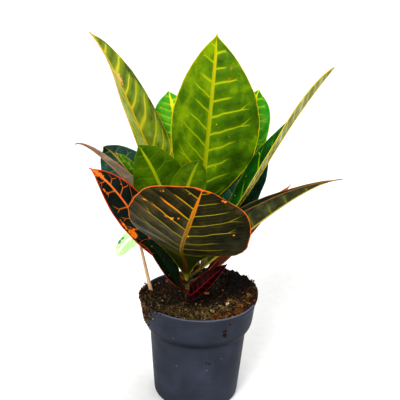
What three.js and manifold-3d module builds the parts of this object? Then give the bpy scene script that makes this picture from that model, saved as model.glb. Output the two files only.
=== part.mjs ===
// A croton grown from two cuttings in a 12 cm nursery pot, with its potting soil and a marker stake.
// Millimetres, +Z up. The origin is the middle of the pot's underside.
import * as THREE from "three";
import { mergeVertices } from "three/addons/utils/BufferGeometryUtils.js";
import Module from "manifold-3d";

const wasm = await Module();
wasm.setup();

// Driving dimensions of the pot
const POT_HEIGHT = 111;
const RIM_RADIUS = 60;
const COLLAR_HEIGHT = 34;
const COLLAR_FOOT_RADIUS = 57;
const BODY_TOP_RADIUS = 50.6;
const BASE_RADIUS = 44.8;
const POT_WALL = 1.4;
const FLOOR_THICKNESS = 2;
const LIP_WIDTH = 1.9;
const POT_SIDES = 48;
const DRAIN_COUNT = 8;
const DRAIN_RADIUS = 4;
const DRAIN_CIRCLE = 33;

// Clearance that touching pieces keep
const GAP = 0.3;

// Driving dimensions of the soil
const SOIL_EDGE_DROP = 3.5;
const SOIL_HEAP = 10;
const SOIL_OVERHANG = 1.5;
const SOIL_EDGE_ROUND = 1.2;
const SOIL_RADIUS = RIM_RADIUS - 3;
const SOIL_SIDES = 44;

// How much heap, from 0 to 1, makes the soil stand over the rim's height, and lie out over the rim
const SOIL_CRESTS = 0.25;
const SOIL_SPILLS = 0.5;

// Driving dimensions of the stems and the stake
const STEM_SIDES = 12;
const STEM_STEPS = 14;
const STEM_FOOT_HEIGHT = 70;
const SOIL_LEVEL = 104;
const LEAN_POWER = 1.4;
const SCAR_SWELLING = 0.3;
const STAKE_RADIUS = 1.6;
const STAKE_FOOT = [-43, 10, 72];
const STAKE_TOP = [-64, 10, 165];

// Driving dimensions shared by the leaves
const BLADE_THICKNESS = 0.8;
const PETIOLE_RADIUS = 1.7;
const PETIOLE_STATIONS = 3;
const BLADE_STATIONS = 13;
const ACROSS = [-1, -0.62, -0.28, 0, 0.28, 0.62, 1];
const TIP_HALF = 0.5;
const TIP_CROWDING = 1.5;
const OPENING_SHARE = 0.12;
const RIB_DEPTH = 1.1;
const WAVES = 2.5;
const WAVE_LAG = 2;

const STEMS = {
  stem_rear: { foot: [-5, 13], lean: [3, 8], height: 186, footRadius: 4.2, topRadius: 2.8 },
  stem_front: { foot: [-13, 5], lean: [-2, -4], height: 158, footRadius: 3.6, topRadius: 2.4 },
};

// Each leaf: its stem, the height at which it leaves it, the other three Bezier points of its midrib
// up to the tip, its stalk's length, the width of its left and right halves, where along the blade it
// is widest (0 stalk, 1 tip) and how full its outline is (small is blunt), for both halves or for each,
// a notch in its left half (its depth, and where it ends), which way its upper face looks, the turn of
// that face at stalk and tip, how far the halves fold up and curl, and its edge's waves.
const LEAVES = [
  {
    name: "leaf_tall", stem: "stem_rear", finish: "fresh_green",
    from: 182, spine: [[-1, 45, 230], [6, 28, 307], [8, 50, 372]],
    petiole: 14, half: [50.5, 52.5], widest: 0.47, full: 2.05, face: [0, -1, 0.15],
    roll: [23, 1], fold: [25, 9], curl: [6, 0], wave: 0.8,
  },
  {
    name: "leaf_upper_left", stem: "stem_rear", finish: "olive_green",
    from: 172, spine: [[-49, 22, 213], [-84, 41, 333], [-112, 11, 371]],
    petiole: 16, half: [35, 33], widest: [0.54, 0.5], full: [2.18, 1.95], face: [0.8, -0.5, 0.35],
    roll: [-6, 23], fold: [21, 19], curl: [-3, -3], wave: 0.8,
  },
  {
    name: "leaf_upper_right", stem: "stem_rear", finish: "deep_green",
    from: 162, spine: [[52, 15, 203], [54, -8, 264], [119, 4, 348]],
    petiole: 16, half: [30, 19], widest: [0.38, 0.72], full: [5, 1.3], face: [-0.75, -0.4, 0.5],
    roll: [-3, -21], fold: [14, 36], curl: [-8, 0], wave: 0.8,
  },
  {
    name: "leaf_back_left", stem: "stem_rear", finish: "bright_green",
    from: 164, spine: [[-15, 47, 204], [-27, 58, 270], [-41, 85, 308]],
    petiole: 16, half: [33, 32], widest: 0.58, full: [1.85, 2.15], face: [0.2, -0.9, 0.3],
    roll: [0, 5], fold: [12, 8], curl: [0, -2], wave: 1,
  },
  {
    name: "leaf_back_right", stem: "stem_rear", finish: "bright_green",
    from: 174, spine: [[7, 64, 226], [46, 86, 268], [57, 98, 311]],
    petiole: 16, half: [29, 34], widest: 0.65, full: 2.4, face: [-0.2, -0.9, 0.3],
    roll: [-4, -3], fold: [10, 17], curl: [0, 2], wave: 1,
  },
  {
    name: "leaf_teal_right", stem: "stem_rear", finish: "dark_teal",
    from: 148, spine: [[23, 32, 178], [31, 43, 219], [66, 50, 256]],
    petiole: 16, half: [25, 28], widest: 0.56, full: 1.8, face: [-0.3, -0.9, 0.3],
    roll: [0, -3], fold: [28, 17], curl: [0, 0], wave: 1,
  },
  {
    name: "leaf_teal_left", stem: "stem_rear", finish: "dark_teal",
    from: 153, spine: [[-44, 33, 178], [-92, 52, 252], [-103, 28, 257]],
    petiole: 16, half: [30, 30], widest: 0.57, full: 1.7, face: [0.4, -0.8, 0.4],
    roll: [-5, -44], fold: [4, 20], curl: [-3, 3], wave: 1,
  },
  {
    name: "leaf_drooping", stem: "stem_rear", finish: "pale_green",
    from: 130, spine: [[-38, 12, 172], [-68, 16, 186], [-89, 24, 140]],
    petiole: 14, half: [9, 9], widest: 0.62, full: 1.5, face: [-0.3, -0.85, 0.4],
    roll: [0, 0], fold: [6, 6], curl: [0, 0], wave: 0.6,
  },
  {
    name: "leaf_thin_left", stem: "stem_rear", finish: "grey_brown",
    from: 140, spine: [[-37, 18, 183], [-112, 4, 275], [-117, -45, 276]],
    petiole: 16, half: [11, 11], widest: 0.35, full: 2.15, face: [0.5, 0, 0.85],
    roll: [8, 25], fold: [52, 68], curl: [0, -10], wave: 0.4,
  },
  {
    name: "leaf_front", stem: "stem_front", finish: "bronze_brown",
    from: 115, spine: [[-15, -5, 186], [-29, -94, 166], [-1, -118, 260]],
    petiole: 12, half: [54.5, 53], widest: 0.72, full: 1.32, notch: [0.38, 0.4, 0.58], face: [0, 0.75, 0.66],
    roll: [-27, -12], fold: [7, 5], curl: [5, -2], wave: 0.6,
  },
  {
    name: "leaf_red_left", stem: "stem_front", finish: "near_black",
    from: 124, spine: [[-38, 8, 129], [-74, -18, 230], [-107, -32, 251]],
    petiole: 8, half: [18, 18], widest: 0.6, full: 2.7, face: [0.5, -0.8, 0.25],
    roll: [0, -11], fold: [14, 21], curl: [0, 2], wave: 0.6,
  },
  {
    name: "leaf_low_left", stem: "stem_front", finish: "deep_green",
    from: 113, spine: [[-30, -7.5, 119], [-42.3, -3.1, 173.9], [-62.2, -18.6, 171.7]],
    petiole: 8, half: [10.3, 10.3], widest: 0.46, full: 1.72, face: [0.4, -0.8, 0.4],
    roll: [14, -5], fold: [24, 11], curl: [8, 0], wave: 0.4,
  },
  {
    name: "leaf_low_right", stem: "stem_front", finish: "bronze_brown",
    from: 126, spine: [[20, 10, 149], [89, -36, 249], [127, -43, 252]],
    petiole: 14, half: [24.5, 25], widest: 0.35, full: 2.5, face: [-0.5, 0, 0.85],
    roll: [2, 6], fold: [88, 65], curl: [3, 3], wave: 0.6,
  },
  {
    name: "leaf_slim_right", stem: "stem_front", finish: "maroon",
    from: 121, spine: [[29, 14, 133], [55, 8, 185], [86, -1, 233]],
    petiole: 14, half: [16, 16], widest: 0.48, full: 2.1, face: [-0.5, 0, 0.85],
    roll: [0, -5], fold: [40, 44], curl: [0, 2], wave: 0.5,
  },
  {
    name: "leaf_young_left", stem: "stem_front", finish: "fresh_green",
    from: 146, spine: [[-30, 7, 178], [-36, -4, 230], [-64, -9, 269]],
    petiole: 12, half: [27, 28], widest: 0.55, full: [1.8, 1.45], face: [0.1, -0.95, 0.2],
    roll: [1, 0], fold: [3, 8], curl: [0, 0], wave: 0.8,
  },
  {
    name: "leaf_young_centre", stem: "stem_front", finish: "fresh_green",
    from: 155, spine: [[-23, -14, 188], [-22, -8, 223], [-5, -19, 259]],
    petiole: 10, half: [18, 18], widest: 0.62, full: 1.4, face: [0, -1, 0.2],
    roll: [1, 15], fold: [12, 0], curl: [1, -4], wave: 0.6,
  },
  {
    name: "leaf_bud_left", stem: "stem_rear", finish: "fresh_green",
    from: 165, spine: [[-25.4, 6.3, 177.3], [-47.8, 9.7, 222], [-87.7, 11.3, 255.7]],
    petiole: 57, half: [6, 6], widest: 0.56, full: 1.64, face: [0.1, -0.9, 0.3],
    roll: [8, -4], fold: [28, -11], curl: [0, 0], wave: 0.4,
  },
  {
    name: "leaf_at_soil", stem: "stem_front", finish: "maroon",
    from: 113, spine: [[-7, -17, 113], [-13, -23, 115], [27, -13, 151]],
    petiole: 8, half: [9.5, 9.5], widest: 0.47, full: 1.8, face: [-0.5, -0.7, 0.5],
    roll: [3, -3], fold: [15, 22], curl: [0, 3], wave: 0.4,
  },
];

// Colour and gloss of each finish, as it reads from a few steps away
const FINISHES = {
  pot_plastic: { color: 0x3e424c, roughness: 0.5 },
  potting_soil: { color: 0x1c1510, roughness: 1 },
  stake_wood: { color: 0xd09a62, roughness: 0.7 },
  stem_bark: { color: 0x4a3a30, roughness: 0.8 },
  fresh_green: { color: 0x5c8a08, roughness: 0.4 },
  bright_green: { color: 0x4a9a30, roughness: 0.4 },
  olive_green: { color: 0x67801e, roughness: 0.4 },
  deep_green: { color: 0x0f5a14, roughness: 0.35 },
  dark_teal: { color: 0x0e3a30, roughness: 0.35 },
  pale_green: { color: 0xc4e4a4, roughness: 0.5 },
  grey_brown: { color: 0x8a7860, roughness: 0.45 },
  bronze_brown: { color: 0x3c3420, roughness: 0.45 },
  near_black: { color: 0x0a1a10, roughness: 0.3 },
  maroon: { color: 0x4a1420, roughness: 0.4 },
};

const part = new THREE.Group();

function solidOf(geometry) {
  const bare = geometry.clone();
  bare.deleteAttribute("normal");
  bare.deleteAttribute("uv");
  const merged = mergeVertices(bare, 1e-4);
  return new wasm.Manifold(
    new wasm.Mesh({
      numProp: 3,
      vertProperties: new Float32Array(merged.attributes.position.array),
      triVerts: new Uint32Array(merged.index.array),
    }),
  );
}

function geometryOf(solid) {
  const mesh = solid.getMesh();
  const geometry = new THREE.BufferGeometry();
  geometry.setAttribute("position", new THREE.BufferAttribute(mesh.vertProperties, 3));
  geometry.setIndex(new THREE.BufferAttribute(mesh.triVerts, 1));
  geometry.computeVertexNormals();
  return geometry;
}

function addPiece(name, finish, solid) {
  const material = new THREE.MeshStandardMaterial({ ...FINISHES[finish], metalness: 0 });
  const mesh = new THREE.Mesh(geometryOf(solid), material);
  mesh.name = name;
  part.add(mesh);
}

// Closed skin over rows of points: each row is a ring, and both ends are closed by a fan. The two
// halves of a ring are split the other way round, so that a thin blade's faces are split alike.
function skin(rows) {
  const count = rows[0].length;
  const points = rows.flat();
  const index = [];
  for (let i = 0; i + 1 < rows.length; i++) {
    for (let j = 0; j < count; j++) {
      const next = (j + 1) % count;
      const [a, b, c, d] = [i * count + j, i * count + next, (i + 1) * count + j, (i + 1) * count + next];
      index.push(...(j < count / 2 ? [a, b, d, a, d, c] : [a, b, c, b, d, c]));
    }
  }
  const last = (rows.length - 1) * count;
  for (let j = 1; j + 1 < count; j++) {
    index.push(0, j + 1, j);
    index.push(last, last + j, last + j + 1);
  }
  const geometry = new THREE.BufferGeometry();
  geometry.setAttribute("position", new THREE.Float32BufferAttribute(points.flatMap((p) => p.toArray()), 3));
  geometry.setIndex(index);
  return geometry;
}

// Round bar along a curve, thinning from foot to top, with a swelling at each leaf scar
function bar(curve, footRadius, topRadius, sides, steps, swelling) {
  const rows = [];
  for (let i = 0; i <= steps; i++) {
    const along = i / steps;
    const centre = curve.getPointAt(along);
    const tangent = curve.getTangentAt(along);
    const across = new THREE.Vector3(1, 0, 0).addScaledVector(tangent, -tangent.x).normalize();
    const other = new THREE.Vector3().crossVectors(tangent, across);
    const radius = THREE.MathUtils.lerp(footRadius, topRadius, along) + (i % 2 ? swelling : 0);
    const row = [];
    for (let j = 0; j < sides; j++) {
      const turn = (2 * Math.PI * j) / sides;
      const spoke = across.clone().multiplyScalar(radius * Math.cos(turn));
      row.push(centre.clone().add(spoke).addScaledVector(other, radius * Math.sin(turn)));
    }
    rows.push(row);
  }
  return solidOf(skin(rows));
}

function vector(p) {
  return new THREE.Vector3(...p);
}

// Middle of a stem at a height: upright in the soil, leaning more and more above it
function stemAxis(stem, z) {
  const share = Math.max((z - SOIL_LEVEL) / (stem.height - SOIL_LEVEL), 0) ** LEAN_POWER;
  return new THREE.Vector3(stem.foot[0] + stem.lean[0] * share, stem.foot[1] + stem.lean[1] * share, z);
}

function stemBar(stem, clearance) {
  const rise = stem.height - STEM_FOOT_HEIGHT;
  const along = [0, 0.25, 0.5, 0.75, 1].map((share) => stemAxis(stem, STEM_FOOT_HEIGHT + share * rise));
  const curve = new THREE.CatmullRomCurve3(along, false, "centripetal");
  const [foot, top] = [stem.footRadius + clearance, stem.topRadius + clearance];
  return bar(curve, foot, top, STEM_SIDES, STEM_STEPS, SCAR_SWELLING);
}

function stakeBar(clearance) {
  const line = new THREE.LineCurve3(vector(STAKE_FOOT), vector(STAKE_TOP));
  return bar(line, STAKE_RADIUS + clearance, STAKE_RADIUS + clearance, 8, 2, 0);
}

// A leaf's number for its left (0) or right (1) half, which may each have their own
function ownSide(value, side) {
  return Array.isArray(value) ? value[side] : value;
}

// Width of a blade's left (0) or right (1) half at s, 0 at the stalk and 1 at the tip
function bladeHalf(leaf, s, side) {
  const widest = ownSide(leaf.widest, side);
  const base = (s / widest) ** widest;
  const end = ((1 - s) / (1 - widest)) ** (1 - widest);
  const half = leaf.half[side] * (base * end) ** ownSide(leaf.full, side);
  if (side === 1 || !leaf.notch) {
    return half;
  }
  const [depth, low, high] = leaf.notch;
  return half * (1 - depth * (1 - THREE.MathUtils.smoothstep(s, low, high)));
}

// Points of a leaf's middle surface across one station, from its left margin to its right
function leafStation(leaf, curve, u, s) {
  const centre = curve.getPointAt(u);
  const tangent = curve.getTangentAt(u);
  const face = vector(leaf.face).normalize();
  face.addScaledVector(tangent, -face.dot(tangent)).normalize();
  const turn = THREE.MathUtils.degToRad(THREE.MathUtils.lerp(leaf.roll[0], leaf.roll[1], s));
  const side = new THREE.Vector3().crossVectors(tangent, face);
  const up = face.clone().multiplyScalar(Math.cos(turn)).addScaledVector(side, Math.sin(turn));
  side.crossVectors(tangent, up);
  const opening = Math.min(s / OPENING_SHARE, 1);
  const stalk = PETIOLE_RADIUS * (1 - u) + TIP_HALF;
  const least = stalk * (1 - s) + TIP_HALF * s;
  return ACROSS.map((a) => {
    const which = a < 0 ? 0 : 1;
    const reach = Math.abs(a);
    const half = Math.max(s > 0 ? bladeHalf(leaf, s, which) : 0, least);
    const angle = THREE.MathUtils.degToRad(leaf.fold[which] + leaf.curl[which] * reach) * opening;
    const swing = Math.sin(2 * Math.PI * WAVES * s + WAVE_LAG * which);
    const ripple = leaf.wave * reach ** 2 * opening * swing * Math.min(half / Math.max(...leaf.half), 1);
    const point = centre.clone().addScaledVector(side, half * a * Math.cos(angle));
    return point.addScaledVector(up, half * reach * Math.sin(angle) + ripple);
  });
}

function leafSolid(leaf) {
  const stem = STEMS[leaf.stem];
  const curve = new THREE.CubicBezierCurve3(stemAxis(stem, leaf.from), ...leaf.spine.map(vector));
  const stalkShare = leaf.petiole / curve.getLength();
  const stations = [];
  for (let i = 0; i < PETIOLE_STATIONS; i++) {
    stations.push({ u: (stalkShare * i) / PETIOLE_STATIONS, s: 0 });
  }
  for (let i = 0; i < BLADE_STATIONS; i++) {
    const s = 1 - (1 - i / (BLADE_STATIONS - 1)) ** TIP_CROWDING;
    stations.push({ u: stalkShare + (1 - stalkShare) * s, s });
  }
  const grid = stations.map(({ u, s }) => leafStation(leaf, curve, u, s));
  const rows = grid.map((row, i) => {
    const { u, s } = stations[i];
    const before = grid[Math.max(i - 1, 0)];
    const after = grid[Math.min(i + 1, grid.length - 1)];
    const stalk = Math.max(1 - s / OPENING_SHARE, 0);
    const upper = [];
    const lower = [];
    row.forEach((point, j) => {
      const along = after[j].clone().sub(before[j]);
      const across = row[Math.min(j + 1, row.length - 1)].clone().sub(row[Math.max(j - 1, 0)]);
      const normal = across.cross(along).normalize();
      const round = PETIOLE_RADIUS * Math.sqrt(1 - ACROSS[j] ** 2) * stalk;
      const rib = ACROSS[j] === 0 ? RIB_DEPTH * (1 - u) : 0;
      upper.push(point.clone().addScaledVector(normal, BLADE_THICKNESS / 2 + round));
      lower.push(point.clone().addScaledVector(normal, -BLADE_THICKNESS / 2 - Math.max(round, rib)));
    });
    return [...upper, ...lower.reverse()];
  });
  return solidOf(skin(rows)).subtract(stemBar(stem, GAP));
}

// Closed outline of the pot's wall and floor, from the middle of the floor outside and back inside
function potProfile() {
  const bodyTop = POT_HEIGHT - COLLAR_HEIGHT;
  const outside = [
    [0, 0], [BASE_RADIUS - 3, 0], [BASE_RADIUS - 0.8, 1.2], [BASE_RADIUS + 0.2, 4],
    [BODY_TOP_RADIUS, bodyTop - 1], [BODY_TOP_RADIUS + 1.6, bodyTop], [BODY_TOP_RADIUS + 4, bodyTop + 3],
    [COLLAR_FOOT_RADIUS - 0.8, bodyTop + 7], [COLLAR_FOOT_RADIUS, bodyTop + 11],
    [RIM_RADIUS - 1, POT_HEIGHT - 4], [RIM_RADIUS, POT_HEIGHT - 3], [RIM_RADIUS, POT_HEIGHT - 0.6],
    [RIM_RADIUS - 0.7, POT_HEIGHT],
  ];
  const inside = [
    [RIM_RADIUS - LIP_WIDTH, POT_HEIGHT], [RIM_RADIUS - 0.5 - LIP_WIDTH, POT_HEIGHT - 4],
    [COLLAR_FOOT_RADIUS - POT_WALL, bodyTop + 11], [BODY_TOP_RADIUS + 3.4 - POT_WALL, bodyTop + 4.6],
    [BODY_TOP_RADIUS - POT_WALL, bodyTop], [BASE_RADIUS + 0.2 - POT_WALL, 5],
    [BASE_RADIUS - 4, FLOOR_THICKNESS], [0, FLOOR_THICKNESS],
  ];
  return [...outside, ...inside].map(([r, z]) => new THREE.Vector2(r, z));
}

// A lathe turns about Y, so it is stood up on Z
function turned(profile, sides) {
  const geometry = new THREE.LatheGeometry(profile, sides);
  geometry.rotateX(Math.PI / 2);
  return geometry;
}

function potSolid() {
  let pot = solidOf(turned(potProfile(), POT_SIDES));
  for (let i = 0; i < DRAIN_COUNT; i++) {
    const turn = (2 * Math.PI * (i + 0.5)) / DRAIN_COUNT;
    const drain = new THREE.CylinderGeometry(DRAIN_RADIUS, DRAIN_RADIUS, 8, 12);
    drain.rotateX(Math.PI / 2);
    drain.translate(DRAIN_CIRCLE * Math.cos(turn), DRAIN_CIRCLE * Math.sin(turn), 0);
    pot = pot.subtract(solidOf(drain));
  }
  return pot;
}

// How far the soil is heaped over the rim in a direction: high behind on the right, low on the left
function heap(turn) {
  const swell = (centre, width) => {
    const away = Math.cos(turn - THREE.MathUtils.degToRad(centre));
    return THREE.MathUtils.smoothstep(away, Math.cos(THREE.MathUtils.degToRad(width)), 1);
  };
  return Math.max(swell(45, 85), 0.65 * swell(190, 60));
}

function soilTop(radius, turn) {
  const [x, y] = [radius * Math.cos(turn), radius * Math.sin(turn)];
  const lumps = Math.sin(x * 0.31 + 1) * Math.cos(y * 0.27) + 0.6 * Math.sin(x * 0.62 - y * 0.55);
  const ring = (radius / RIM_RADIUS) ** 3;
  return POT_HEIGHT - SOIL_EDGE_DROP + SOIL_HEAP * ring * heap(turn) + lumps;
}

// Where the soil's side meets its top in a direction: inside the rim, or out over it where it is heaped
function soilEdge(turn) {
  const clearOfRim = POT_HEIGHT + GAP + 0.2;
  const radius = heap(turn) > SOIL_SPILLS ? RIM_RADIUS + SOIL_OVERHANG * heap(turn) : SOIL_RADIUS;
  const crest = soilTop(radius, turn) - SOIL_EDGE_ROUND;
  if (heap(turn) < SOIL_CRESTS) {
    return { radius, crest, under: crest - 0.6 };
  }
  return { radius, crest: Math.max(crest, clearOfRim + 0.6), under: clearOfRim };
}

function soilSolid() {
  const bodyTop = POT_HEIGHT - COLLAR_HEIGHT;
  const wall = POT_WALL + GAP + 0.2;
  const below = [
    [BASE_RADIUS - 6, FLOOR_THICKNESS + GAP], [BASE_RADIUS - wall, 6], [BODY_TOP_RADIUS - wall, bodyTop],
    [COLLAR_FOOT_RADIUS - wall, bodyTop + 11.5], [SOIL_RADIUS - 0.4, POT_HEIGHT - 8],
  ];
  const rows = below.map(([radius, height]) => ring(() => [radius, height]));
  rows.push(ring((turn) => [SOIL_RADIUS, soilEdge(turn).under]));
  rows.push(ring((turn) => [soilEdge(turn).radius, soilEdge(turn).under + 0.1]));
  rows.push(ring((turn) => [soilEdge(turn).radius, soilEdge(turn).crest]));
  for (const share of [0.93, 0.8, 0.62, 0.42, 0.22, 0.06]) {
    rows.push(ring((turn) => {
      const edge = soilEdge(turn);
      const radius = edge.radius * share;
      return [radius, Math.max(soilTop(radius, turn), radius > SOIL_RADIUS - 1 ? edge.crest : 0)];
    }));
  }
  let soil = solidOf(skin(rows));
  for (const stem of Object.values(STEMS)) {
    soil = soil.subtract(stemBar(stem, GAP));
  }
  return soil.subtract(stakeBar(GAP));
}

// One ring of soil points, with a radius and a height for each direction
function ring(at) {
  const row = [];
  for (let j = 0; j < SOIL_SIDES; j++) {
    const turn = (2 * Math.PI * j) / SOIL_SIDES;
    const [radius, height] = at(turn);
    row.push(new THREE.Vector3(radius * Math.cos(turn), radius * Math.sin(turn), height));
  }
  return row;
}

addPiece("pot", "pot_plastic", potSolid());
addPiece("soil", "potting_soil", soilSolid());
addPiece("stake", "stake_wood", stakeBar(0));
for (const [name, stem] of Object.entries(STEMS)) {
  addPiece(name, "stem_bark", stemBar(stem, 0));
}
for (const leaf of LEAVES) {
  addPiece(leaf.name, leaf.finish, leafSolid(leaf));
}

export default part;
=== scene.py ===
"""A potted croton: eighteen variegated leaves on two stems, potting mix, a nursery pot and a stake.

Sizes are in millimetres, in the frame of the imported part, and become metres where a mesh is placed.
"""
import math
import random

import bpy
import numpy as np
from mathutils import Matrix, Vector, noise

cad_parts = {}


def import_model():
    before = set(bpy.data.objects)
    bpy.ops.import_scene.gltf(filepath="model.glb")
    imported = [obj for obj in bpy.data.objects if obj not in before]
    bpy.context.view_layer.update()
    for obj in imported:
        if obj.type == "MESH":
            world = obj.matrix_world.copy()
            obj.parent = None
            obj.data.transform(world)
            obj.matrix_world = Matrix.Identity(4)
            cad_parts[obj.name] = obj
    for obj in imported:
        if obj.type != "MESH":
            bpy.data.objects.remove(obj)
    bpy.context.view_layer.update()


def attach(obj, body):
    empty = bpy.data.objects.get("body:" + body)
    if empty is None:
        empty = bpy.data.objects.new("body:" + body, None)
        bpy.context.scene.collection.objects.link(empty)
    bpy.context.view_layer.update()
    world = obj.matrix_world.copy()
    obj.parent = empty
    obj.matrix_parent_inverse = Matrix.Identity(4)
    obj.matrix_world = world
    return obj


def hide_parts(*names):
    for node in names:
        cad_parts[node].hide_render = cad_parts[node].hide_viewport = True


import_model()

MM = 0.001

# Camera, as fitted to the pot in the photograph
CAMERA_TARGET = (-2.7, 0, 213.5)
CAMERA_DISTANCE = 650
CAMERA_PITCH = 17.8
CAMERA_ROLL = 2.15
FOCAL_PIXELS = 653
PHOTO_PIXELS = 400
SENSOR_WIDTH = 36

# Driving dimensions of the pot
POT_HEIGHT = 111
RIM_RADIUS = 60
COLLAR_HEIGHT = 34
COLLAR_FOOT_RADIUS = 57
BODY_TOP_RADIUS = 50.6
BASE_RADIUS = 44.8
BODY_TOP = POT_HEIGHT - COLLAR_HEIGHT
POT_WALL = 1.4
FLOOR_THICKNESS = 2
LIP_WIDTH = 1.9
DRAIN_COUNT = 8
DRAIN_RADIUS = 4
DRAIN_CIRCLE = 33

# Driving dimensions of the potting mix, whose level is where the stems come out of it
SOIL_EDGE_DROP = 3.5
SOIL_HEAP = 10
SOIL_OVERHANG = 1.5
SOIL_RADIUS = RIM_RADIUS - 3
SOIL_LEVEL = 104

# Each heap's direction and half width in degrees and its share of the height, the high one's place,
# and its top, round which shade is painted on the mix
HEAPS = ((38, 85, 1.0), (195, 60, 0.65))
HEAP_CENTRE = (44, 33)
HEAP_TOP = (46, 30, 112)

# The loose bits on the mix: how many, how they are built, and the direction and spread in degrees
# round which they lie where they don't lie all over
CRUMB_COUNT = 2700
LARGE_CRUMB = 0.9
SPILL_COUNT = 1000
SPILL_DEPTH = 25
SPILL_SIDE = (198, 13)
STRAY_GRAINS = 7
FIBRE_COUNT = 900
FIBRE_POINTS = 6
FIBRE_SIDE = (-85, 38)
CHIP_COUNT = 130
CHIP_CORNERS = 7
CHIP_SIDE = (-42, 22)

# Driving dimensions of the stake, the stems and the leaves
STAKE_RADIUS = 1.6
STAKE_FOOT = (-43, 10, 72)
STAKE_TOP = (-64, 10, 165)
DENT_CENTRE = (STAKE_FOOT[0] - 7, STAKE_FOOT[1] - 4)
DENT_RADIUS = 11
DENT_DEPTH = 4.5
STEM_FOOT_HEIGHT = 70
STEM_SCARS = 6
LEAN_POWER = 1.4
BLADE_THICKNESS = 0.7
PETIOLE_RADIUS = 1.7
TIP_HALF = 0.5
TIP_DRAWN = 0.45
TIP_REACH = 0.045
OPENING_SHARE = 0.12
WAVES = 2.5
WAVE_LAG = 2
BLADE_COLUMNS = 44
BLADE_ROWS = 110
STALK_SIDES = 14
STALK_ROWS = 64
STALK_SUNK = 1.6
STALK_END = 0.985
STALK_STOPS = (0.06, 0.97, 0.12, 0.8)

STEMS = {
    "stem_rear": dict(foot=(-5, 13), lean=(3, 8), height=186, foot_radius=4.2, top_radius=2.8),
    "stem_front": dict(foot=(-13, 5), lean=(-2, -4), height=158, foot_radius=3.6, top_radius=2.4),
}


def shades(tones, vein, mid, margin, **others):
    """One face of a leaf: its colours, from stalk to tip where there are two, and its amounts.

    The tones are the tissue's, from dark to pale. The amounts say how wide, how strong and how
    regular each pattern is, and reach and fork are shares of the way from the midrib to the margin.
    Lean paints light on one half of the blade, climb shifts the tone from foot to tip, partly as painted
    light, and the rib shade is painted shade across each band between two veins.
    """
    look = dict(
        tones=tones, vein=vein, mid=mid, margin=margin, margin_foot=margin, glow=vein[0],
        blotch=vein[1], speck=vein[0], net=tones[2], warm=vein[1], foot=tones[0],
    )
    amounts = dict(
        vein_width=0.1, vein_show=0.95, mid_width=(2.0, 0.8), margin_width=0.6, glow_show=0.3,
        blotch_level=0.9, speck_show=0.0, net_show=0.1, fine_show=0.0, ribbing=0.0, rib_left=1.0,
        lean=0.0, climb=0.0, uneven=0.35, reach=0.85, fork=0.62, spread=0.22, foot_show=0.0,
        foot_reach=0.4, gloss=0.36, shine=0.2,
    )
    return look | amounts | others


FRESH = shades(
    ("#2c4c00", "#4b7100", "#84a004"), ("#a8b404", "#b0bc04"), ("#98a408", "#c4b400"), "#d0b80c",
    glow="#6c9000", blotch="#8c7400", speck="#c4c81c", speck_show=0.5, net_show=0.04, mid_width=(3.0, 1.6),
    blotch_level=0.76, vein_width=0.13, glow_show=0.4, lean=-0.12, climb=0.08, fine_show=0.05, gloss=0.42,
    reach=0.74, margin_width=1.0, shine=0.1, uneven=0.2,
)
FRESH_UNDER = shades(
    ("#4a6418", "#627c28", "#829c3c"), ("#a8b450", "#b4bc5c"), ("#b8b850", "#bcc068"), "#a89030",
    mid_width=(2.4, 1.0), gloss=0.5,
)
YOUNG = shades(
    ("#203a00", "#406000", "#628000"), ("#6c8404", "#748c04"), ("#98a410", "#8c9c0c"), "#5c7c04",
    glow="#4c6c00", vein_show=0.6, glow_show=0.15, net_show=0.06, mid_width=(2.2, 1.3), vein_width=0.08,
    margin_width=0.4, climb=0.05, fine_show=0.1, gloss=0.42, shine=0.1,
)
YOUNG_UNDER = shades(
    ("#40601c", "#58782c", "#789444"), ("#84a048", "#8ca850"), ("#98ac50", "#98b058"), "#6c8c30",
    mid_width=(1.8, 0.8), vein_show=0.6, gloss=0.5,
)
BUD = shades(
    ("#1c4004", "#44740c", "#78a428"), ("#8cb43c", "#98bc48"), ("#7c9c30", "#88a83c"), "#a0a434",
    glow="#5c8c20", vein_width=0.16, mid_width=(0.7, 0.5), margin_width=0.7, climb=-0.2,
)
OLIVE = shades(
    ("#2c5000", "#7c981c", "#ccd09c"), ("#dcd824", "#e4d438"), ("#f0c418", "#e8b020"), "#d4a010",
    glow="#a0b028", blotch="#f8c080", blotch_level=0.8, speck="#d0cc28", speck_show=0.8, vein_width=0.19,
    vein_show=1.0, glow_show=0.75, mid_width=(1.8, 1.2), margin_width=1.1, uneven=0.15, reach=1.05,
    fork=0.85, lean=-0.26, fine_show=0.06, climb=-0.14, gloss=0.4, spread=0.17,
)
OLIVE_UNDER = shades(
    ("#68743c", "#848c50", "#a4a86c"), ("#bcbc78", "#c4c080"), ("#c8bc70", "#d0b860"), "#b89030",
    mid_width=(1.6, 0.7), gloss=0.5,
)
BRIGHT = shades(
    ("#187c0c", "#34981c", "#74b838"), ("#a8d010", "#b0d418"), ("#c8cc20", "#f0e81c"), "#a8c018",
    glow="#60b01c", blotch="#c8d818", blotch_level=0.74, vein_width=0.24, glow_show=0.5,
    mid_width=(2.0, 2.2), uneven=0.3, gloss=0.42,
)
BRIGHT_UNDER = shades(
    ("#4c7c30", "#64903c", "#84a858"), ("#b0c470", "#bccc7c"), ("#c0c474", "#ccc468"), "#b8a040",
    mid_width=(1.8, 0.9), gloss=0.5,
)
GILDED = shades(
    ("#032a0a", "#0a4c0e", "#2c7c34"), ("#b4cc08", "#a8cc10"), ("#c8b818", "#c8b428"), "#ccb80c",
    glow="#1c6408", speck="#c8dc10", speck_show=1.0, margin_width=1.2, uneven=0.8, shine=0.3,
    climb=0.25,
)
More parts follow.
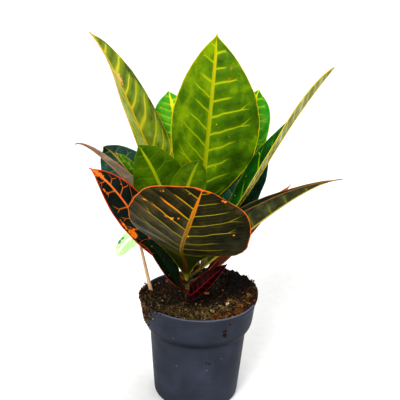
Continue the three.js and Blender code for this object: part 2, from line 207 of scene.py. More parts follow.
# This face's pale tones and fine bands are partly its own colour and partly a painted sheen
GILDED_UNDER = shades(
    ("#4c5410", "#6c7020", "#949048"), ("#c8c890", "#bcb878"), ("#dcc81c", "#d0b820"), "#e4cc18",
    mid_width=(0.7, 0.5), margin_width=1.2, vein_show=0.75, vein_width=0.14, gloss=0.5, ribbing=0.8,
    fine_show=0.9, reach=1.1, uneven=0.5, fork=0.95, foot="#3c5008", foot_show=0.8,
)
TEAL = shades(
    ("#0a3020", "#154432", "#305e4a"), ("#648830", "#84a040"), ("#b48c30", "#c8842c"), "#4c6c44",
    glow="#1c5838", blotch="#6c8c28", blotch_level=0.76, vein_width=0.08, vein_show=0.7,
    mid_width=(1.2, 0.9), shine=0.3, gloss=0.34,
)
TEAL_UNDER = shades(
    ("#142418", "#223828", "#385040"), ("#58703c", "#647c44"), ("#747844", "#886838"), "#905830",
    mid_width=(1.4, 0.8), vein_show=0.5, gloss=0.5,
)
PALE = shades(
    ("#a4d884", "#bce29c", "#dcf0cc"), ("#80bc58", "#94c470"), ("#e8f0dc", "#dcecd0"), "#a4d898",
    vein_show=0.3, vein_width=0.08, mid_width=(1.5, 1.3), blotch="#3c7c58", blotch_level=0.8, gloss=0.45,
    lean=0.08,
)
BRONZE = shades(
    ("#0e0c02", "#242109", "#483e22"), ("#90980c", "#a89c10"), ("#6c7008", "#cc7410"), "#e06c14",
    glow="#34300a", blotch="#e08410", blotch_level=0.83, speck="#c08c14", speck_show=1.0, vein_width=0.07,
    mid_width=(2.0, 1.6), margin_width=0.9, gloss=0.46, shine=0.08, uneven=0.4, reach=0.82,
    ribbing=0.9, rib_left=0.15, lean=0.14, margin_foot="#948c10", fine_show=0.07, net_show=0.03,
    warm="#e88c0c", foot="#202e02", foot_show=0.9, foot_reach=0.55,
)
OLIVE_BRONZE = shades(
    ("#1a1c11", "#303219", "#585a36"), ("#707c24", "#7c8828"), ("#a08820", "#a89030"), "#8c5428",
    speck="#b09820", speck_show=0.6, vein_width=0.05, vein_show=0.8, mid_width=(0.9, 0.5),
    margin_width=0.5, gloss=0.46, shine=0.1, ribbing=0.3,
)
# The pale pink margin line of this face is a painted highlight along its edge
DUSK = shades(
    ("#54493a", "#80725c", "#aca08c"), ("#94846c", "#a09078"), ("#a89060", "#a08058"), "#d89070",
    vein_show=0.3, vein_width=0.06, mid_width=(0.9, 0.5), margin_width=0.9, gloss=0.48, fine_show=0.3,
)
FLAME = shades(
    ("#030d09", "#081c14", "#143024"), ("#d86406", "#e4780c"), ("#dc6008", "#f08848"), "#d83c10",
    glow="#241004", blotch="#e8780c", blotch_level=0.7, speck="#e86c10", speck_show=0.9, fork=0.5,
    vein_width=0.09, mid_width=(0.6, 1.2), margin_width=1.0, gloss=0.34, uneven=0.55, shine=0.15,
    reach=1.0, net_show=0.0,
)
FLAME_GREEN = shades(
    ("#061804", "#102c08", "#244810"), ("#b84810", "#c86c14"), ("#b84818", "#cc6420"), "#c04818",
    glow="#343808", blotch="#c87014", blotch_level=0.74, speck="#c88014", speck_show=0.5,
)
MAROON = shades(
    ("#060100", "#100201", "#260605"), ("#5c0a0e", "#6c0c12"), ("#740a18", "#680c18"), "#4c0c10",
    glow="#1c0304", mid_width=(0.9, 0.6), gloss=0.44, shine=0.05, lean=-0.1,
)
RUSSET = shades(
    ("#281410", "#442018", "#603424"), ("#80401f", "#944c28"), ("#943c2c", "#c06c58"), "#b8503c",
    vein_width=0.06, mid_width=(1.2, 0.6), gloss=0.46,
)
SHADOW = shades(
    ("#020c04", "#041806", "#0c2c10"), ("#50600c", "#98801c"), ("#1c1808", "#2c2410"), "#90301c",
    glow="#062008", blotch="#a8941c", blotch_level=0.68, speck="#b8a01c", speck_show=1.0,
    vein_width=0.06, vein_show=0.12, mid_width=(0.8, 0.5), net_show=0.0, shine=0.08,
)


# Each leaf: its stem, the height at which it leaves it, the rest of its midrib's curve, its stalk's
# length, the width of its left and right halves, their widest place and fullness, the depth and the
# ends of a notch in the left one, the way its upper face looks, the turn of that face at stalk and
# tip, how far the halves fold and curl, and its waves, as in the part's source. Then its veins: how
# many run off each side, how they crowd to the tip, the first one's place and the slope on either
# side, how they bend to the margin, and the depth of the quilting between them. Then its patches of
# the blotches' colour and its warm spots, each by its place along and across the blade and its reach
# both ways in mm. Last the shades of both faces, the cut edge's colours at foot and tip where they
# aren't the upper margin's, and the stalk's colours, at the places that STALK_STOPS names.
LEAVES = [
    dict(
        name="leaf_tall", slot="fresh_green", stem="stem_rear", leaves_at=182,
        spine=((-1, 45, 230), (6, 28, 307), (8, 50, 372)),
        petiole=14, half=(50.5, 52.5), widest=0.47, full=2.05, face=(0, -1, 0.15),
        roll=(23, 1), fold=(25, 9), curl=(6, 0), wave=0.8,
        veins=(10.7, 1.0), left=(-0.1, 0.72), right=(-0.35, 0.33), quilt=0.6,
        patches=((52, -26, 4, 3), (135, 16, 5, 3), (147, 17, 4, 2)), upper=FRESH, under=FRESH_UNDER,
        stalk=("#6a8a20", "#c8c83c", "#c8c83c"),
    ),
    dict(
        name="leaf_upper_left", slot="olive_green", stem="stem_rear", leaves_at=172,
        spine=((-49, 22, 213), (-84, 41, 333), (-112, 11, 371)),
        petiole=16, half=(35, 33), widest=(0.54, 0.5), full=(2.18, 1.95), face=(0.8, -0.5, 0.35),
        roll=(-6, 23), fold=(21, 19), curl=(-3, -3), wave=0.8,
        veins=(10.5, 1.0), left=(0.5, 0.6), right=(0.2, 0.35), bend=0.85, quilt=0.8,
        patches=((161, 2.2, 10, 4.5),), upper=OLIVE, under=OLIVE_UNDER,
        stalk=("#7a8a30", "#d8c050", "#d8c050"),
    ),
    dict(
        name="leaf_upper_right", slot="deep_green", stem="stem_rear", leaves_at=162,
        spine=((52, 15, 203), (54, -8, 264), (119, 4, 348)),
        petiole=16, half=(30, 18), widest=(0.38, 0.68), full=(5, 1.3), face=(-0.75, -0.4, 0.5),
        roll=(-3, -21), fold=(14, 36), curl=(-8, 0), wave=0.8,
        veins=(7, 1.0), left=(-0.4, 0.9), right=(0.2, 0.8), quilt=0.5,
        patches=((69, -19, 2, 2),), upper=GILDED, under=GILDED_UNDER,
        stalk=("#7c8c28", "#d0c040", "#d0c040"),
    ),
    dict(
        name="leaf_back_left", slot="bright_green", stem="stem_rear", leaves_at=164,
        spine=((-15, 47, 204), (-27, 58, 270), (-41, 85, 308)),
        petiole=16, half=(33, 32), widest=0.58, full=(1.85, 2.15), face=(0.2, -0.9, 0.3),
        roll=(0, 5), fold=(12, 8), curl=(0, -2), wave=1,
        veins=(16, 1.1), left=(0.1, 0.5), right=(0.6, 0.5), quilt=0.5, upper=BRIGHT, under=BRIGHT_UNDER,
        stalk=("#6c8c30", "#c8cc50", "#c8cc50"),
    ),
    dict(
        name="leaf_back_right", slot="bright_green", stem="stem_rear", leaves_at=174,
        spine=((7, 64, 226), (46, 86, 268), (57, 98, 311)),
        petiole=16, half=(29, 34), widest=0.65, full=2.4, face=(-0.2, -0.9, 0.3),
        roll=(-4, -3), fold=(10, 17), curl=(0, 2), wave=1,
        veins=(15, 1.1), left=(0.3, 0.5), right=(0.8, 0.5), quilt=0.5, upper=BRIGHT, under=BRIGHT_UNDER,
        stalk=("#6c8c30", "#c8cc50", "#c8cc50"),
    ),
    dict(
        name="leaf_teal_right", slot="dark_teal", stem="stem_rear", leaves_at=148,
        spine=((23, 32, 178), (31, 43, 219), (66, 50, 256)),
        petiole=16, half=(25, 28), widest=0.56, full=1.8, face=(-0.3, -0.9, 0.3),
        roll=(0, -3), fold=(28, 17), curl=(0, 0), wave=1,
        veins=(9, 1.1), left=(0.1, 0.6), right=(0.6, 0.6), quilt=0.6, upper=TEAL, under=TEAL_UNDER,
        stalk=("#3c5430", "#6c7c3c", "#6c7c3c"),
    ),
    dict(
        name="leaf_teal_left", slot="dark_teal", stem="stem_rear", leaves_at=153,
        spine=((-44, 33, 178), (-92, 52, 252), (-103, 28, 257)),
        petiole=16, half=(30, 30), widest=0.57, full=1.7, face=(0.4, -0.8, 0.4),
        roll=(-5, -44), fold=(4, 20), curl=(-3, 3), wave=1,
        veins=(9, 1.1), left=(0.2, 0.6), right=(0.7, 0.6), quilt=0.6, upper=TEAL, under=TEAL_UNDER,
        stalk=("#3c5430", "#8c8c40", "#8c8c40"),
    ),
    dict(
        name="leaf_drooping", slot="pale_green", stem="stem_rear", leaves_at=130,
        spine=((-38, 12, 172), (-68, 16, 186), (-89, 24, 140)),
        petiole=14, half=(9.5, 8), widest=0.68, full=1.25, face=(-0.3, -0.85, 0.4),
        roll=(0, 0), fold=(6, 6), curl=(0, 0), wave=0.6,
        veins=(12, 1.0), left=(0.0, 1.4), right=(0.5, 1.4), quilt=0.2,
        patches=((82, 5.6, 9, 1.8),), upper=PALE, under=PALE,
        stalk=("#8cb060", "#e4f0c8", "#e4f0c8"),
    ),
    dict(
        name="leaf_thin_left", slot="grey_brown", stem="stem_rear", leaves_at=140,
        spine=((-37, 18, 183), (-112, 4, 275), (-117, -45, 276)),
        petiole=16, half=(11, 11), widest=0.35, full=2.15, face=(0.5, 0, 0.85),
        roll=(8, 25), fold=(52, 68), curl=(0, -10), wave=0.4,
        veins=(14, 1.0), left=(0.0, 0.9), right=(0.5, 0.9), quilt=0.2, upper=FLAME_GREEN, under=DUSK,
        rim=("#9c6848", "#9c6848"),
        stalk=("#5c4c38", "#b88c70", "#b88c70"),
    ),
    dict(
        name="leaf_front", slot="bronze_brown", stem="stem_front", leaves_at=115,
        spine=((-15, -5, 186), (-29, -94, 166), (-1, -118, 260)),
        petiole=12, half=(54.5, 53), widest=0.72, full=1.32, notch=(0.38, 0.4, 0.58), face=(0, 0.75, 0.66),
        roll=(-27, -12), fold=(7, 5), curl=(5, -2), wave=0.6,
        veins=(8.4, 2.0), left=(0.0, 0.65), right=(-0.45, 0.55), quilt=0.7,
        patches=(
            (146, 18, 2.5, 5), (149, 10.7, 1.5, 1.5), (180.5, -21, 1.5, 3.5), (145, -39, 1.5, 3.5),
            (130, -2.4, 2, 1.2), (173, 30, 2.5, 2), (156, 41, 1.5, 4),
        ), warm=((160, 25, 15, 18),), upper=FLAME_GREEN, under=BRONZE, rim=("#948c10", "#dc6424"),
        stalk=("#8c9c24", "#d87c10", "#4c2008", "#84600f"),
    ),
    dict(
        name="leaf_red_left", slot="near_black", stem="stem_front", leaves_at=124,
        spine=((-38, 8, 129), (-74, -18, 230), (-107, -32, 251)),
        petiole=8, half=(18, 18), widest=0.6, full=2.7, face=(0.5, -0.8, 0.25),
        roll=(0, -11), fold=(14, 21), curl=(0, 2), wave=0.6,
        veins=(9.5, 1.0), left=(0.2, 0.7), right=(-0.15, 1.05), quilt=0.5,
        patches=((74.6, -12, 8, 5), (89, -15, 9, 1.2), (131, -8, 4, 1.2), (146, 0, 14, 4)),
        upper=FLAME, under=BRONZE,
        stalk=("#6c3010", "#ec7428", "#d8600c"),
    ),
    dict(
        name="leaf_low_left", slot="deep_green", stem="stem_front", leaves_at=113,
        spine=((-30, -7.5, 119), (-42.3, -3.1, 173.9), (-62.2, -18.6, 171.7)),
        petiole=8, half=(10.3, 13), widest=0.46, full=1.72, face=(0.4, -0.8, 0.4),
        roll=(14, -5), fold=(24, 11), curl=(8, 0), wave=0.4,
        veins=(9, 1.0), left=(0.0, 0.9), right=(0.5, 0.9), quilt=0.12, upper=SHADOW, under=MAROON,
        stalk=("#3c1810", "#142008", "#1c1808"),
    ),
    dict(
        name="leaf_low_right", slot="bronze_brown", stem="stem_front", leaves_at=126,
        spine=((20, 10, 149), (89, -36, 249), (127, -43, 252)),
        petiole=14, half=(24.5, 25), widest=0.35, full=2.5, face=(-0.5, 0, 0.85),
        roll=(2, 6), fold=(88, 65), curl=(3, 3), wave=0.6,
        veins=(8, 1.0), left=(0.2, 0.5), right=(0.5, 0.5), quilt=0.4, upper=TEAL_UNDER, under=OLIVE_BRONZE,
        rim=("#8c6420", "#8c6420"),
        stalk=("#5c5424", "#b8a43c", "#b8a43c"),
    ),
    dict(
        name="leaf_slim_right", slot="maroon", stem="stem_front", leaves_at=121,
        spine=((29, 14, 133), (55, 8, 185), (86, -1, 233)),
        petiole=14, half=(16, 16), widest=0.48, full=2.1, face=(-0.5, 0, 0.85),
        roll=(0, -5), fold=(40, 44), curl=(0, 2), wave=0.5,
        veins=(9, 1.0), left=(0.0, 0.8), right=(0.5, 0.8), quilt=0.3, upper=FLAME_GREEN, under=RUSSET,
        stalk=("#4c3828", "#8c5438", "#8c5438"),
    ),
    dict(
        name="leaf_young_left", slot="fresh_green", stem="stem_front", leaves_at=146,
        spine=((-30, 7, 178), (-36, -4, 230), (-64, -9, 269)),
        petiole=12, half=(27, 28), widest=0.55, full=(1.8, 1.45), face=(0.1, -0.95, 0.2),
        roll=(1, 0), fold=(3, 8), curl=(0, 0), wave=0.8,
        veins=(9, 1.0), left=(0.1, 0.5), right=(0.6, 0.5), quilt=0.4, upper=YOUNG, under=YOUNG_UNDER,
        stalk=("#5c7c18", "#7c9c20", "#7c9c20"),
    ),
    dict(
        name="leaf_young_centre", slot="fresh_green", stem="stem_front", leaves_at=155,
        spine=((-23, -14, 188), (-22, -8, 223), (-5, -19, 259)),
        petiole=10, half=(18, 18), widest=0.62, full=1.4, face=(0, -1, 0.2),
        roll=(1, 15), fold=(12, 0), curl=(1, -4), wave=0.6,
        veins=(9, 1.0), left=(0.3, 0.5), right=(0.8, 0.5), quilt=0.4, upper=YOUNG, under=YOUNG_UNDER,
        stalk=("#5c7c18", "#7c9c20", "#7c9c20"),
    ),
    dict(
        name="leaf_at_soil", slot="maroon", stem="stem_front", leaves_at=113,
        spine=((-7, -17, 113), (-13, -23, 115), (27, -13, 151)),
        petiole=8, half=(9.5, 9.5), widest=0.47, full=1.8, face=(-0.5, -0.7, 0.5),
        roll=(3, -3), fold=(15, 22), curl=(0, 3), wave=0.4,
        veins=(8, 1.0), left=(0.0, 0.6), right=(0.5, 0.6), quilt=0.5, upper=MAROON, under=MAROON,
        stalk=("#3c1414", "#641424", "#701428"),
    ),
    dict(
        name="leaf_bud_left", slot="fresh_green", stem="stem_rear", leaves_at=165,
        spine=((-25.4, 6.3, 177.3), (-47.8, 9.7, 222), (-87.7, 11.3, 255.7)),
        petiole=57, half=(6, 6), widest=0.56, full=1.64, face=(0.1, -0.9, 0.3),
        roll=(8, -4), fold=(28, -11), curl=(0, 0), wave=0.4,
        veins=(6, 1.0), left=(0.0, 0.6), right=(0.5, 0.6), quilt=0.2, upper=BUD, under=YOUNG_UNDER,
        stalk=("#5c7c18", "#98ac40", "#98ac40"),
    ),
]


def linear(hex_colour):
    """An sRGB hex colour as linear red, green, blue and alpha."""
    channels = [int(hex_colour[i : i + 2], 16) / 255 for i in (1, 3, 5)]
    return [c / 12.92 if c <= 0.04045 else ((c + 0.055) / 1.055) ** 2.4 for c in channels] + [1]


def fill(tree, socket, value):
    """Links an output to an input, or sets the input to a number, a vector or a hex colour."""
    if isinstance(value, bpy.types.NodeSocket):
        tree.links.new(value, socket)
    else:
        socket.default_value = linear(value) if isinstance(value, str) else value


def put(tree, node, values):
    """Gives a node's settings and inputs their values, each by its name."""
    for name, value in values.items():
        if hasattr(node, name):
            setattr(node, name, value)
        else:
            fill(tree, node.inputs[name], value)


def add(tree, kind, *inputs, out=0, ramp=(), **named):
    """Adds a node with its settings and links, and gives its output.

    The inputs that it has in use come in their order, and its settings and other inputs by name. A
    colour ramp's stops begin with its two ends.
    """
    node = tree.nodes.new("ShaderNode" + kind)
    put(tree, node, named)
    for socket, value in zip([socket for socket in node.inputs if socket.enabled], inputs):
        fill(tree, socket, value)
    for i, (place, colour) in enumerate(ramp):
        stop = node.color_ramp.elements[i] if i < 2 else node.color_ramp.elements.new(place)
        stop.position = place
        stop.color = linear(colour)
    outputs = [socket for socket in node.outputs if socket.enabled]
    return node.outputs[out] if isinstance(out, str) else outputs[out]


def new_material(name):
    """A material with its node tree and its one shader."""
    material = bpy.data.materials.new(name)
    material.use_nodes = True
    return material, material.node_tree, material.node_tree.nodes["Principled BSDF"]


def numbers(tree, name):
    """The three numbers that a mesh keeps under a name for each of its vertices."""
    kept = add(tree, "Attribute", attribute_name=name, out="Vector")
    return add(tree, "SeparateXYZ", kept, out=slice(3))


def side_veins(tree, look, across, warmth, seed):
    """Side veins that fork before the margin, each one with a strength and a reach of its own.

    They lie where the phase of their side is a whole number. Given are the side, the phase, the
    distance from the nearest vein, the vein itself and the halo beside it.
    """
    left, right, reach = numbers(tree, "veins")
    side = add(tree, "Math", across, 0.0, operation="GREATER_THAN")
    phase = add(tree, "Mix", side, left, right)
    gap = add(tree, "Math", phase, 0.5, operation="PINGPONG")
    number = add(tree, "Math", phase, operation="ROUND")
    lot = add(tree, "Math", side, 37.0, number, operation="MULTIPLY_ADD")
    lot = add(tree, "Math", lot, seed * 5.3, operation="ADD")
    far, strong = add(tree, "TexWhiteNoise", lot, noise_dimensions="1D", out=slice(2))
    forked = add(tree, "MapRange", reach, look["fork"], look["fork"] + 0.36, 0.0, 0.4)
    branch = add(tree, "Math", gap, forked, operation="SUBTRACT")
    off = add(tree, "Math", branch, operation="ABSOLUTE")
    width = add(tree, "MapRange", reach, 0.0, 1.0, look["vein_width"], look["vein_width"] * 0.4)
    wide = add(tree, "Math", warmth, 1.2, 1.0, operation="MULTIPLY_ADD")
    width = add(tree, "Math", width, wide, operation="MULTIPLY")
    line = add(tree, "MapRange", off, 0.0, width, 1.0, 0.0, interpolation_type="SMOOTHSTEP")
    end = add(tree, "MapRange", far, 0.0, 1.0, look["reach"] - 0.3, look["reach"] + 0.1)
    past = add(tree, "Math", reach, end, operation="SUBTRACT")
    fade = add(tree, "MapRange", past, -0.12, 0.02, 1.0, 0.0)
    strength = add(tree, "MapRange", strong, 0.0, 1.0, 1.0 - look["uneven"], 1.0)
    strength = add(tree, "Math", strength, fade, operation="MULTIPLY")
    vein = add(tree, "Math", line, strength, operation="MULTIPLY")
    halo = add(
        tree, "MapRange", gap, 0.0, look["vein_width"] * 4, look["glow_show"], 0.0,
        interpolation_type="SMOOTHSTEP",
    )
    glow = add(tree, "Math", halo, strength, operation="MULTIPLY")
    return side, phase, gap, vein, glow


def tissue_marks(tree, look, tissue, gap, placed, mottle):
    """The net of the smallest veins, 2.5 mm wide, blotches near veins and in patches, and specks."""
    mesh = add(tree, "TexVoronoi", tissue, feature="DISTANCE_TO_EDGE", Scale=1 / 2.5)
    net = add(tree, "MapRange", mesh, 0.0, 0.16, look["net_show"], 0.0)
    near = add(tree, "MapRange", gap, 0.0, 0.3, 0.1, -0.02)
    stain = add(tree, "Math", mottle, near, operation="ADD")
    level = look["blotch_level"]
    blotch = add(tree, "MapRange", stain, level, level + 0.04, 0.0, 0.95)
    fray = add(tree, "TexNoise", tissue, Scale=1 / 3.5, Detail=3.0, Roughness=0.6, Distortion=0.6)
    torn = add(tree, "Math", fray, 1.8, placed, operation="MULTIPLY_ADD")
    patch = add(tree, "MapRange", torn, 1.5, 1.62)
    blotch = add(tree, "Math", blotch, patch, operation="MAXIMUM")
    centre, chance = add(tree, "TexVoronoi", tissue, Scale=1 / 11, Randomness=1.0, out=slice(2))
    dot = add(tree, "MapRange", centre, 0.04, 0.075, 1.0, 0.0)
    chosen = add(tree, "SeparateColor", chance)
    some = add(tree, "Math", chosen, look["speck_show"] * 0.6, operation="LESS_THAN")
    speck = add(tree, "Math", dot, some, operation="MULTIPLY")
    return net, blotch, speck


def midrib_and_margin(tree, look, share, across, edge, mottle):
    """The midrib, which narrows to the tip, and the margin, a thin line of uneven width."""
    half = add(tree, "MapRange", share, 0.0, 1.0, *look["mid_width"])
    tip = add(tree, "MapRange", share, 0.88, 0.99, 1.0, 0.2)
    half = add(tree, "Math", half, tip, operation="MULTIPLY")
    aside = add(tree, "Math", across, operation="ABSOLUTE")
    ratio = add(tree, "Math", aside, half, operation="DIVIDE")
    ragged = add(tree, "Math", mottle, 0.5, ratio, operation="MULTIPLY_ADD")
    mid = add(tree, "MapRange", ragged, 1.0, 1.5, 1.0, 0.0, interpolation_type="SMOOTHSTEP")
    rim = add(tree, "MapRange", mottle, 0.3, 0.7, 0.5, look["margin_width"] * 1.7)
    margin = add(tree, "MapRange", edge, 0.1, rim, 1.0, 0.0, interpolation_type="SMOOTHSTEP")
    return mid, margin


def tissue_colour(tree, look, share, side, phase, drift):
    """Tissue that pales to one side as painted light, to the tip partly as painted light, and from
    the lower to the upper side of each rib as painted shade.
    """
    # Painted light: lean makes one half of the blade paler than the other; climb, with lean, shifts the tone
    # from foot to tip, partly as painted light
    tone = add(tree, "Math", side, look["lean"], drift, operation="MULTIPLY_ADD")
    at_foot = -0.5 * (look["climb"] + look["lean"])
    at_tip = 0.5 * (look["climb"] - look["lean"])
    risen = add(tree, "MapRange", share, 0.0, 1.0, at_foot, at_tip)
    tone = add(tree, "Math", tone, risen, operation="ADD")
    # Painted shade of the quilting: each band between two veins goes from dark to pale, on the left half by
    # a share of its own
    within = add(tree, "Math", phase, operation="FRACT")
    rib = add(tree, "MapRange", within, 0.0, 1.0, -0.14 * look["ribbing"], 0.14 * look["ribbing"])
    rib_shade_by_side = add(tree, "MapRange", side, 0.0, 1.0, look["rib_left"], 1.0)
    tone = add(tree, "Math", rib, rib_shade_by_side, tone, operation="MULTIPLY_ADD")
    low, middle, high = look["tones"]
    spread = look["spread"]
    return add(tree, "ValToRGB", tone, ramp=((0.5 - spread, low), (0.5 + spread, high), (0.5, middle)))


def leaf_face(name, look, bump, seed):
    """Living leaf under its waxy cuticle: satin gloss, veins, halo, blotches and a fine net."""
    material, tree, shader = new_material(name)
    share, across, edge = numbers(tree, "blade")
    placed, warmth = numbers(tree, "marks")[:2]
    tissue = add(tree, "Attribute", attribute_name="tissue", out="Vector")

    # Pigment drifts over 20 mm, and blotches are about 9 mm across
    drift = add(tree, "TexNoise", tissue, Scale=1 / 20, Detail=4.0, Roughness=0.62)
    mottle = add(tree, "TexNoise", tissue, Scale=1 / 9, Detail=5.0, Roughness=0.6, Distortion=0.8)
    side, phase, gap, vein, glow = side_veins(tree, look, across, warmth, seed)
    net, blotch, speck = tissue_marks(tree, look, tissue, gap, placed, mottle)
    mid, margin = midrib_and_margin(tree, look, share, across, edge, mottle)
    foot = add(
        tree, "MapRange", share, 0.02, look["foot_reach"], look["foot_show"], 0.0,
        interpolation_type="SMOOTHSTEP",
    )
    thirds = add(tree, "Math", phase, 3.0, operation="MULTIPLY")
    beside = add(tree, "Math", thirds, 0.5, operation="PINGPONG")
    fine = add(tree, "MapRange", beside, 0.03, 0.16, look["fine_show"], 0.0)
    fine = add(tree, "Math", fine, drift, operation="MULTIPLY")
    vein = add(tree, "Math", vein, look["vein_show"], operation="MULTIPLY")

    # Veins, midrib and margin have one colour near the stalk and another near the tip
    late = add(tree, "Math", share, 3.0, operation="POWER")
    ripe = add(tree, "MapRange", share, 0.4, 0.75)
    vein_hue, mid_hue, margin_hue = (
        add(tree, "Mix", amount, *hues, data_type="RGBA")
        for amount, hues in (
            (share, look["vein"]), (late, look["mid"]), (ripe, (look["margin_foot"], look["margin"])),
        )
    )
    vein_hue = add(tree, "Mix", warmth, vein_hue, look["warm"], data_type="RGBA")
    colour = tissue_colour(tree, look, share, side, phase, drift)
    layers = (
        (foot, look["foot"]), (net, look["net"]), (fine, look["vein"][0]), (glow, look["glow"]),
        (blotch, look["blotch"]), (speck, look["speck"]), (vein, vein_hue), (margin, margin_hue),
        (mid, mid_hue),
    )
    for cover, hue in layers:
        colour = add(tree, "Mix", cover, colour, hue, data_type="RGBA")

    gloss = add(tree, "MapRange", mottle, 0.3, 0.7, look["gloss"] - 0.05, look["gloss"] + 0.09)
    cells = add(tree, "TexNoise", tissue, Scale=1 / 0.9, Detail=3.0, Roughness=0.6)
    ridge = add(tree, "Math", vein, bump, cells, operation="MULTIPLY_ADD")
    height = add(tree, "Math", net, bump * 0.8, ridge, operation="MULTIPLY_ADD")
    relief = add(tree, "Bump", Strength=0.5, Distance=0.25 * MM, Height=height)
    put(tree, shader, {
        "Base Color": colour, "Roughness": gloss, "IOR": 1.42, "Specular IOR Level": look["shine"],
        "Normal": relief,
    })
    return material


def stalk_skin(name, tones):
    """Fleshy leaf stalk: smooth green tissue with fine lengthwise streaks, satin."""
    material, tree, shader = new_material(name)
    share = numbers(tree, "blade")[0]
    tissue = add(tree, "Attribute", attribute_name="tissue", out="Vector")
    drawn = add(tree, "Mapping", tissue, Scale=(0.12, 1.4, 1.4))
    streak = add(tree, "TexNoise", drawn, Scale=1.0, Detail=3.0)
    colour = add(tree, "ValToRGB", share, ramp=tuple(zip(STALK_STOPS, tones)))
    dark = add(tree, "MapRange", streak, 0.35, 0.65, 0.7, 1.1)
    colour = add(tree, "VectorMath", colour, operation="SCALE", Scale=dark)
    relief = add(tree, "Bump", Strength=0.4, Distance=0.2 * MM, Height=streak)
    put(tree, shader, {
        "Base Color": colour, "Roughness": 0.42, "IOR": 1.42, "Specular IOR Level": 0.15,
        "Normal": relief,
    })
    return material


def margin_skin(name, foot, tip):
    """Cut edge of the blade: the margin's own colours all through, from its foot to its tip."""
    material, tree, shader = new_material(name)
    share = numbers(tree, "blade")[0]
    ripe = add(tree, "MapRange", share, 0.4, 0.75)
    colour = add(tree, "Mix", ripe, foot, tip, data_type="RGBA")
    tissue = add(tree, "Attribute", attribute_name="tissue", out="Vector")
    patch = add(tree, "TexNoise", tissue, Scale=1 / 6, Detail=3.0)
    dark = add(tree, "MapRange", patch, 0.3, 0.7, 0.75, 1.05)
    colour = add(tree, "VectorMath", colour, operation="SCALE", Scale=dark)
    put(tree, shader, {"Base Color": colour, "Roughness": 0.45, "Specular IOR Level": 0.15})
    return material


def unit(vectors):
    """Vectors in the same directions, of length 1."""
    return vectors / np.linalg.norm(vectors, axis=-1, keepdims=True)


def smooth(low, high, values):
    """0 below low, 1 above high, and an easy curve between."""
    t = np.clip((np.asarray(values, float) - low) / (high - low), 0, 1)
    return t * t * (3 - 2 * t)


def noise_at(x, y, z):
    """Smooth noise, between about -1 and 1, at each of a row of places."""
    return np.array([noise.noise(Vector(place)) for place in np.broadcast(x, y, z)])


def ring(radius, turn, across, other):
    """The way from an axis to the wall round it, for each radius and turn about the axis."""
    return across * (radius * np.cos(turn))[:, None] + other * (radius * np.sin(turn))[:, None]


def from_axis(radius, turn, height):
    """The place at a radius and a turn about the pot's axis, and at a height."""
    return np.array([radius * math.cos(turn), radius * math.sin(turn), height])


def stem_axis(stem, z):
    """Middle of a stem at a height: upright in the soil, leaning more and more above it."""
    share = np.maximum((np.asarray(z, float) - SOIL_LEVEL) / (stem["height"] - SOIL_LEVEL), 0) ** LEAN_POWER
    x = stem["foot"][0] + stem["lean"][0] * share
    y = stem["foot"][1] + stem["lean"][1] * share
    return np.stack([x, y, np.broadcast_to(z, np.shape(x))], axis=-1)


class Midrib:
    """The curve of a leaf's midrib, followed by its length as in the part's source."""

    def __init__(self, leaf):
        self.points = np.array([stem_axis(STEMS[leaf["stem"]], leaf["leaves_at"]), *leaf["spine"]], float)
        self.steps = np.linspace(0, 1, 201)
        gaps = np.linalg.norm(np.diff(self.at(self.steps), axis=0), axis=1)
        self.run = np.concatenate([[0], np.cumsum(gaps)])
        self.length = self.run[-1]
        self.blade_length = self.length - leaf["petiole"]
        self.stalk_share = leaf["petiole"] / self.length

    def at(self, t):
        """Places on the curve, by its own parameter."""
        t = np.asarray(t, float)[..., None]
        a, b, c, d = self.points
        return (1 - t) ** 3 * a + 3 * (1 - t) ** 2 * t * b + 3 * (1 - t) * t**2 * c + t**3 * d

    def along(self, u):
        """The curve's parameter at shares of its length."""
        return np.interp(np.asarray(u, float) * self.length, self.run, self.steps)

    def heading(self, t):
        """The way that the curve runs, by its own parameter."""
        t = np.asarray(t, float)[..., None]
        a, b, c, d = self.points
        return unit((1 - t) ** 2 * (b - a) + 2 * (1 - t) * t * (c - b) + t**2 * (d - c))


def leaf_axes(leaf, rib, u, s):
    """Centre, side and upward directions of a leaf at a share u of its length and s of its blade."""
    t = rib.along(u)
    heading = rib.heading(t)
    face = unit(np.array(leaf["face"], float))
    face = unit(face - (heading @ face)[..., None] * heading)
    turn = np.radians(leaf["roll"][0] + (leaf["roll"][1] - leaf["roll"][0]) * s)[..., None]
    up = face * np.cos(turn) + np.cross(heading, face) * np.sin(turn)
    return rib.at(t), np.cross(heading, up), up


def own_side(value, is_left):
    """A leaf's number for one side of it, where the two sides may each have their own."""
    return np.where(is_left, *value) if isinstance(value, tuple) else value


def blade_half(leaf, s, u, is_left):
    """Width in mm of the left or right half of a blade, never less than its stalk."""
    widest = own_side(leaf["widest"], is_left)
    base = (np.clip(s, 0, 1) / widest) ** widest
    end = (np.clip(1 - s, 0, 1) / (1 - widest)) ** (1 - widest)
    half = own_side(leaf["half"], is_left) * (base * end) ** own_side(leaf["full"], is_left)
    depth, low, high = leaf.get("notch", (0, 0, 1))
    half = np.where(is_left, half * (1 - depth * (1 - smooth(low, high, s))), half)
    half = half * (1 - TIP_DRAWN * np.exp(-(((1 - s) / TIP_REACH) ** 2)))
    stalk = PETIOLE_RADIUS * (1 - u) + TIP_HALF
    return np.maximum(half, stalk * (1 - s) + TIP_HALF * s)


def uneven_margin(s, is_left, seed):
    """Slow irregular growth of either margin, by a few hundredths of the half width."""
    lane = seed + 40 * is_left
    return 1 + 0.035 * noise_at(s * 7, lane, 0.5) + 0.012 * noise_at(s * 26, lane, 9.5)


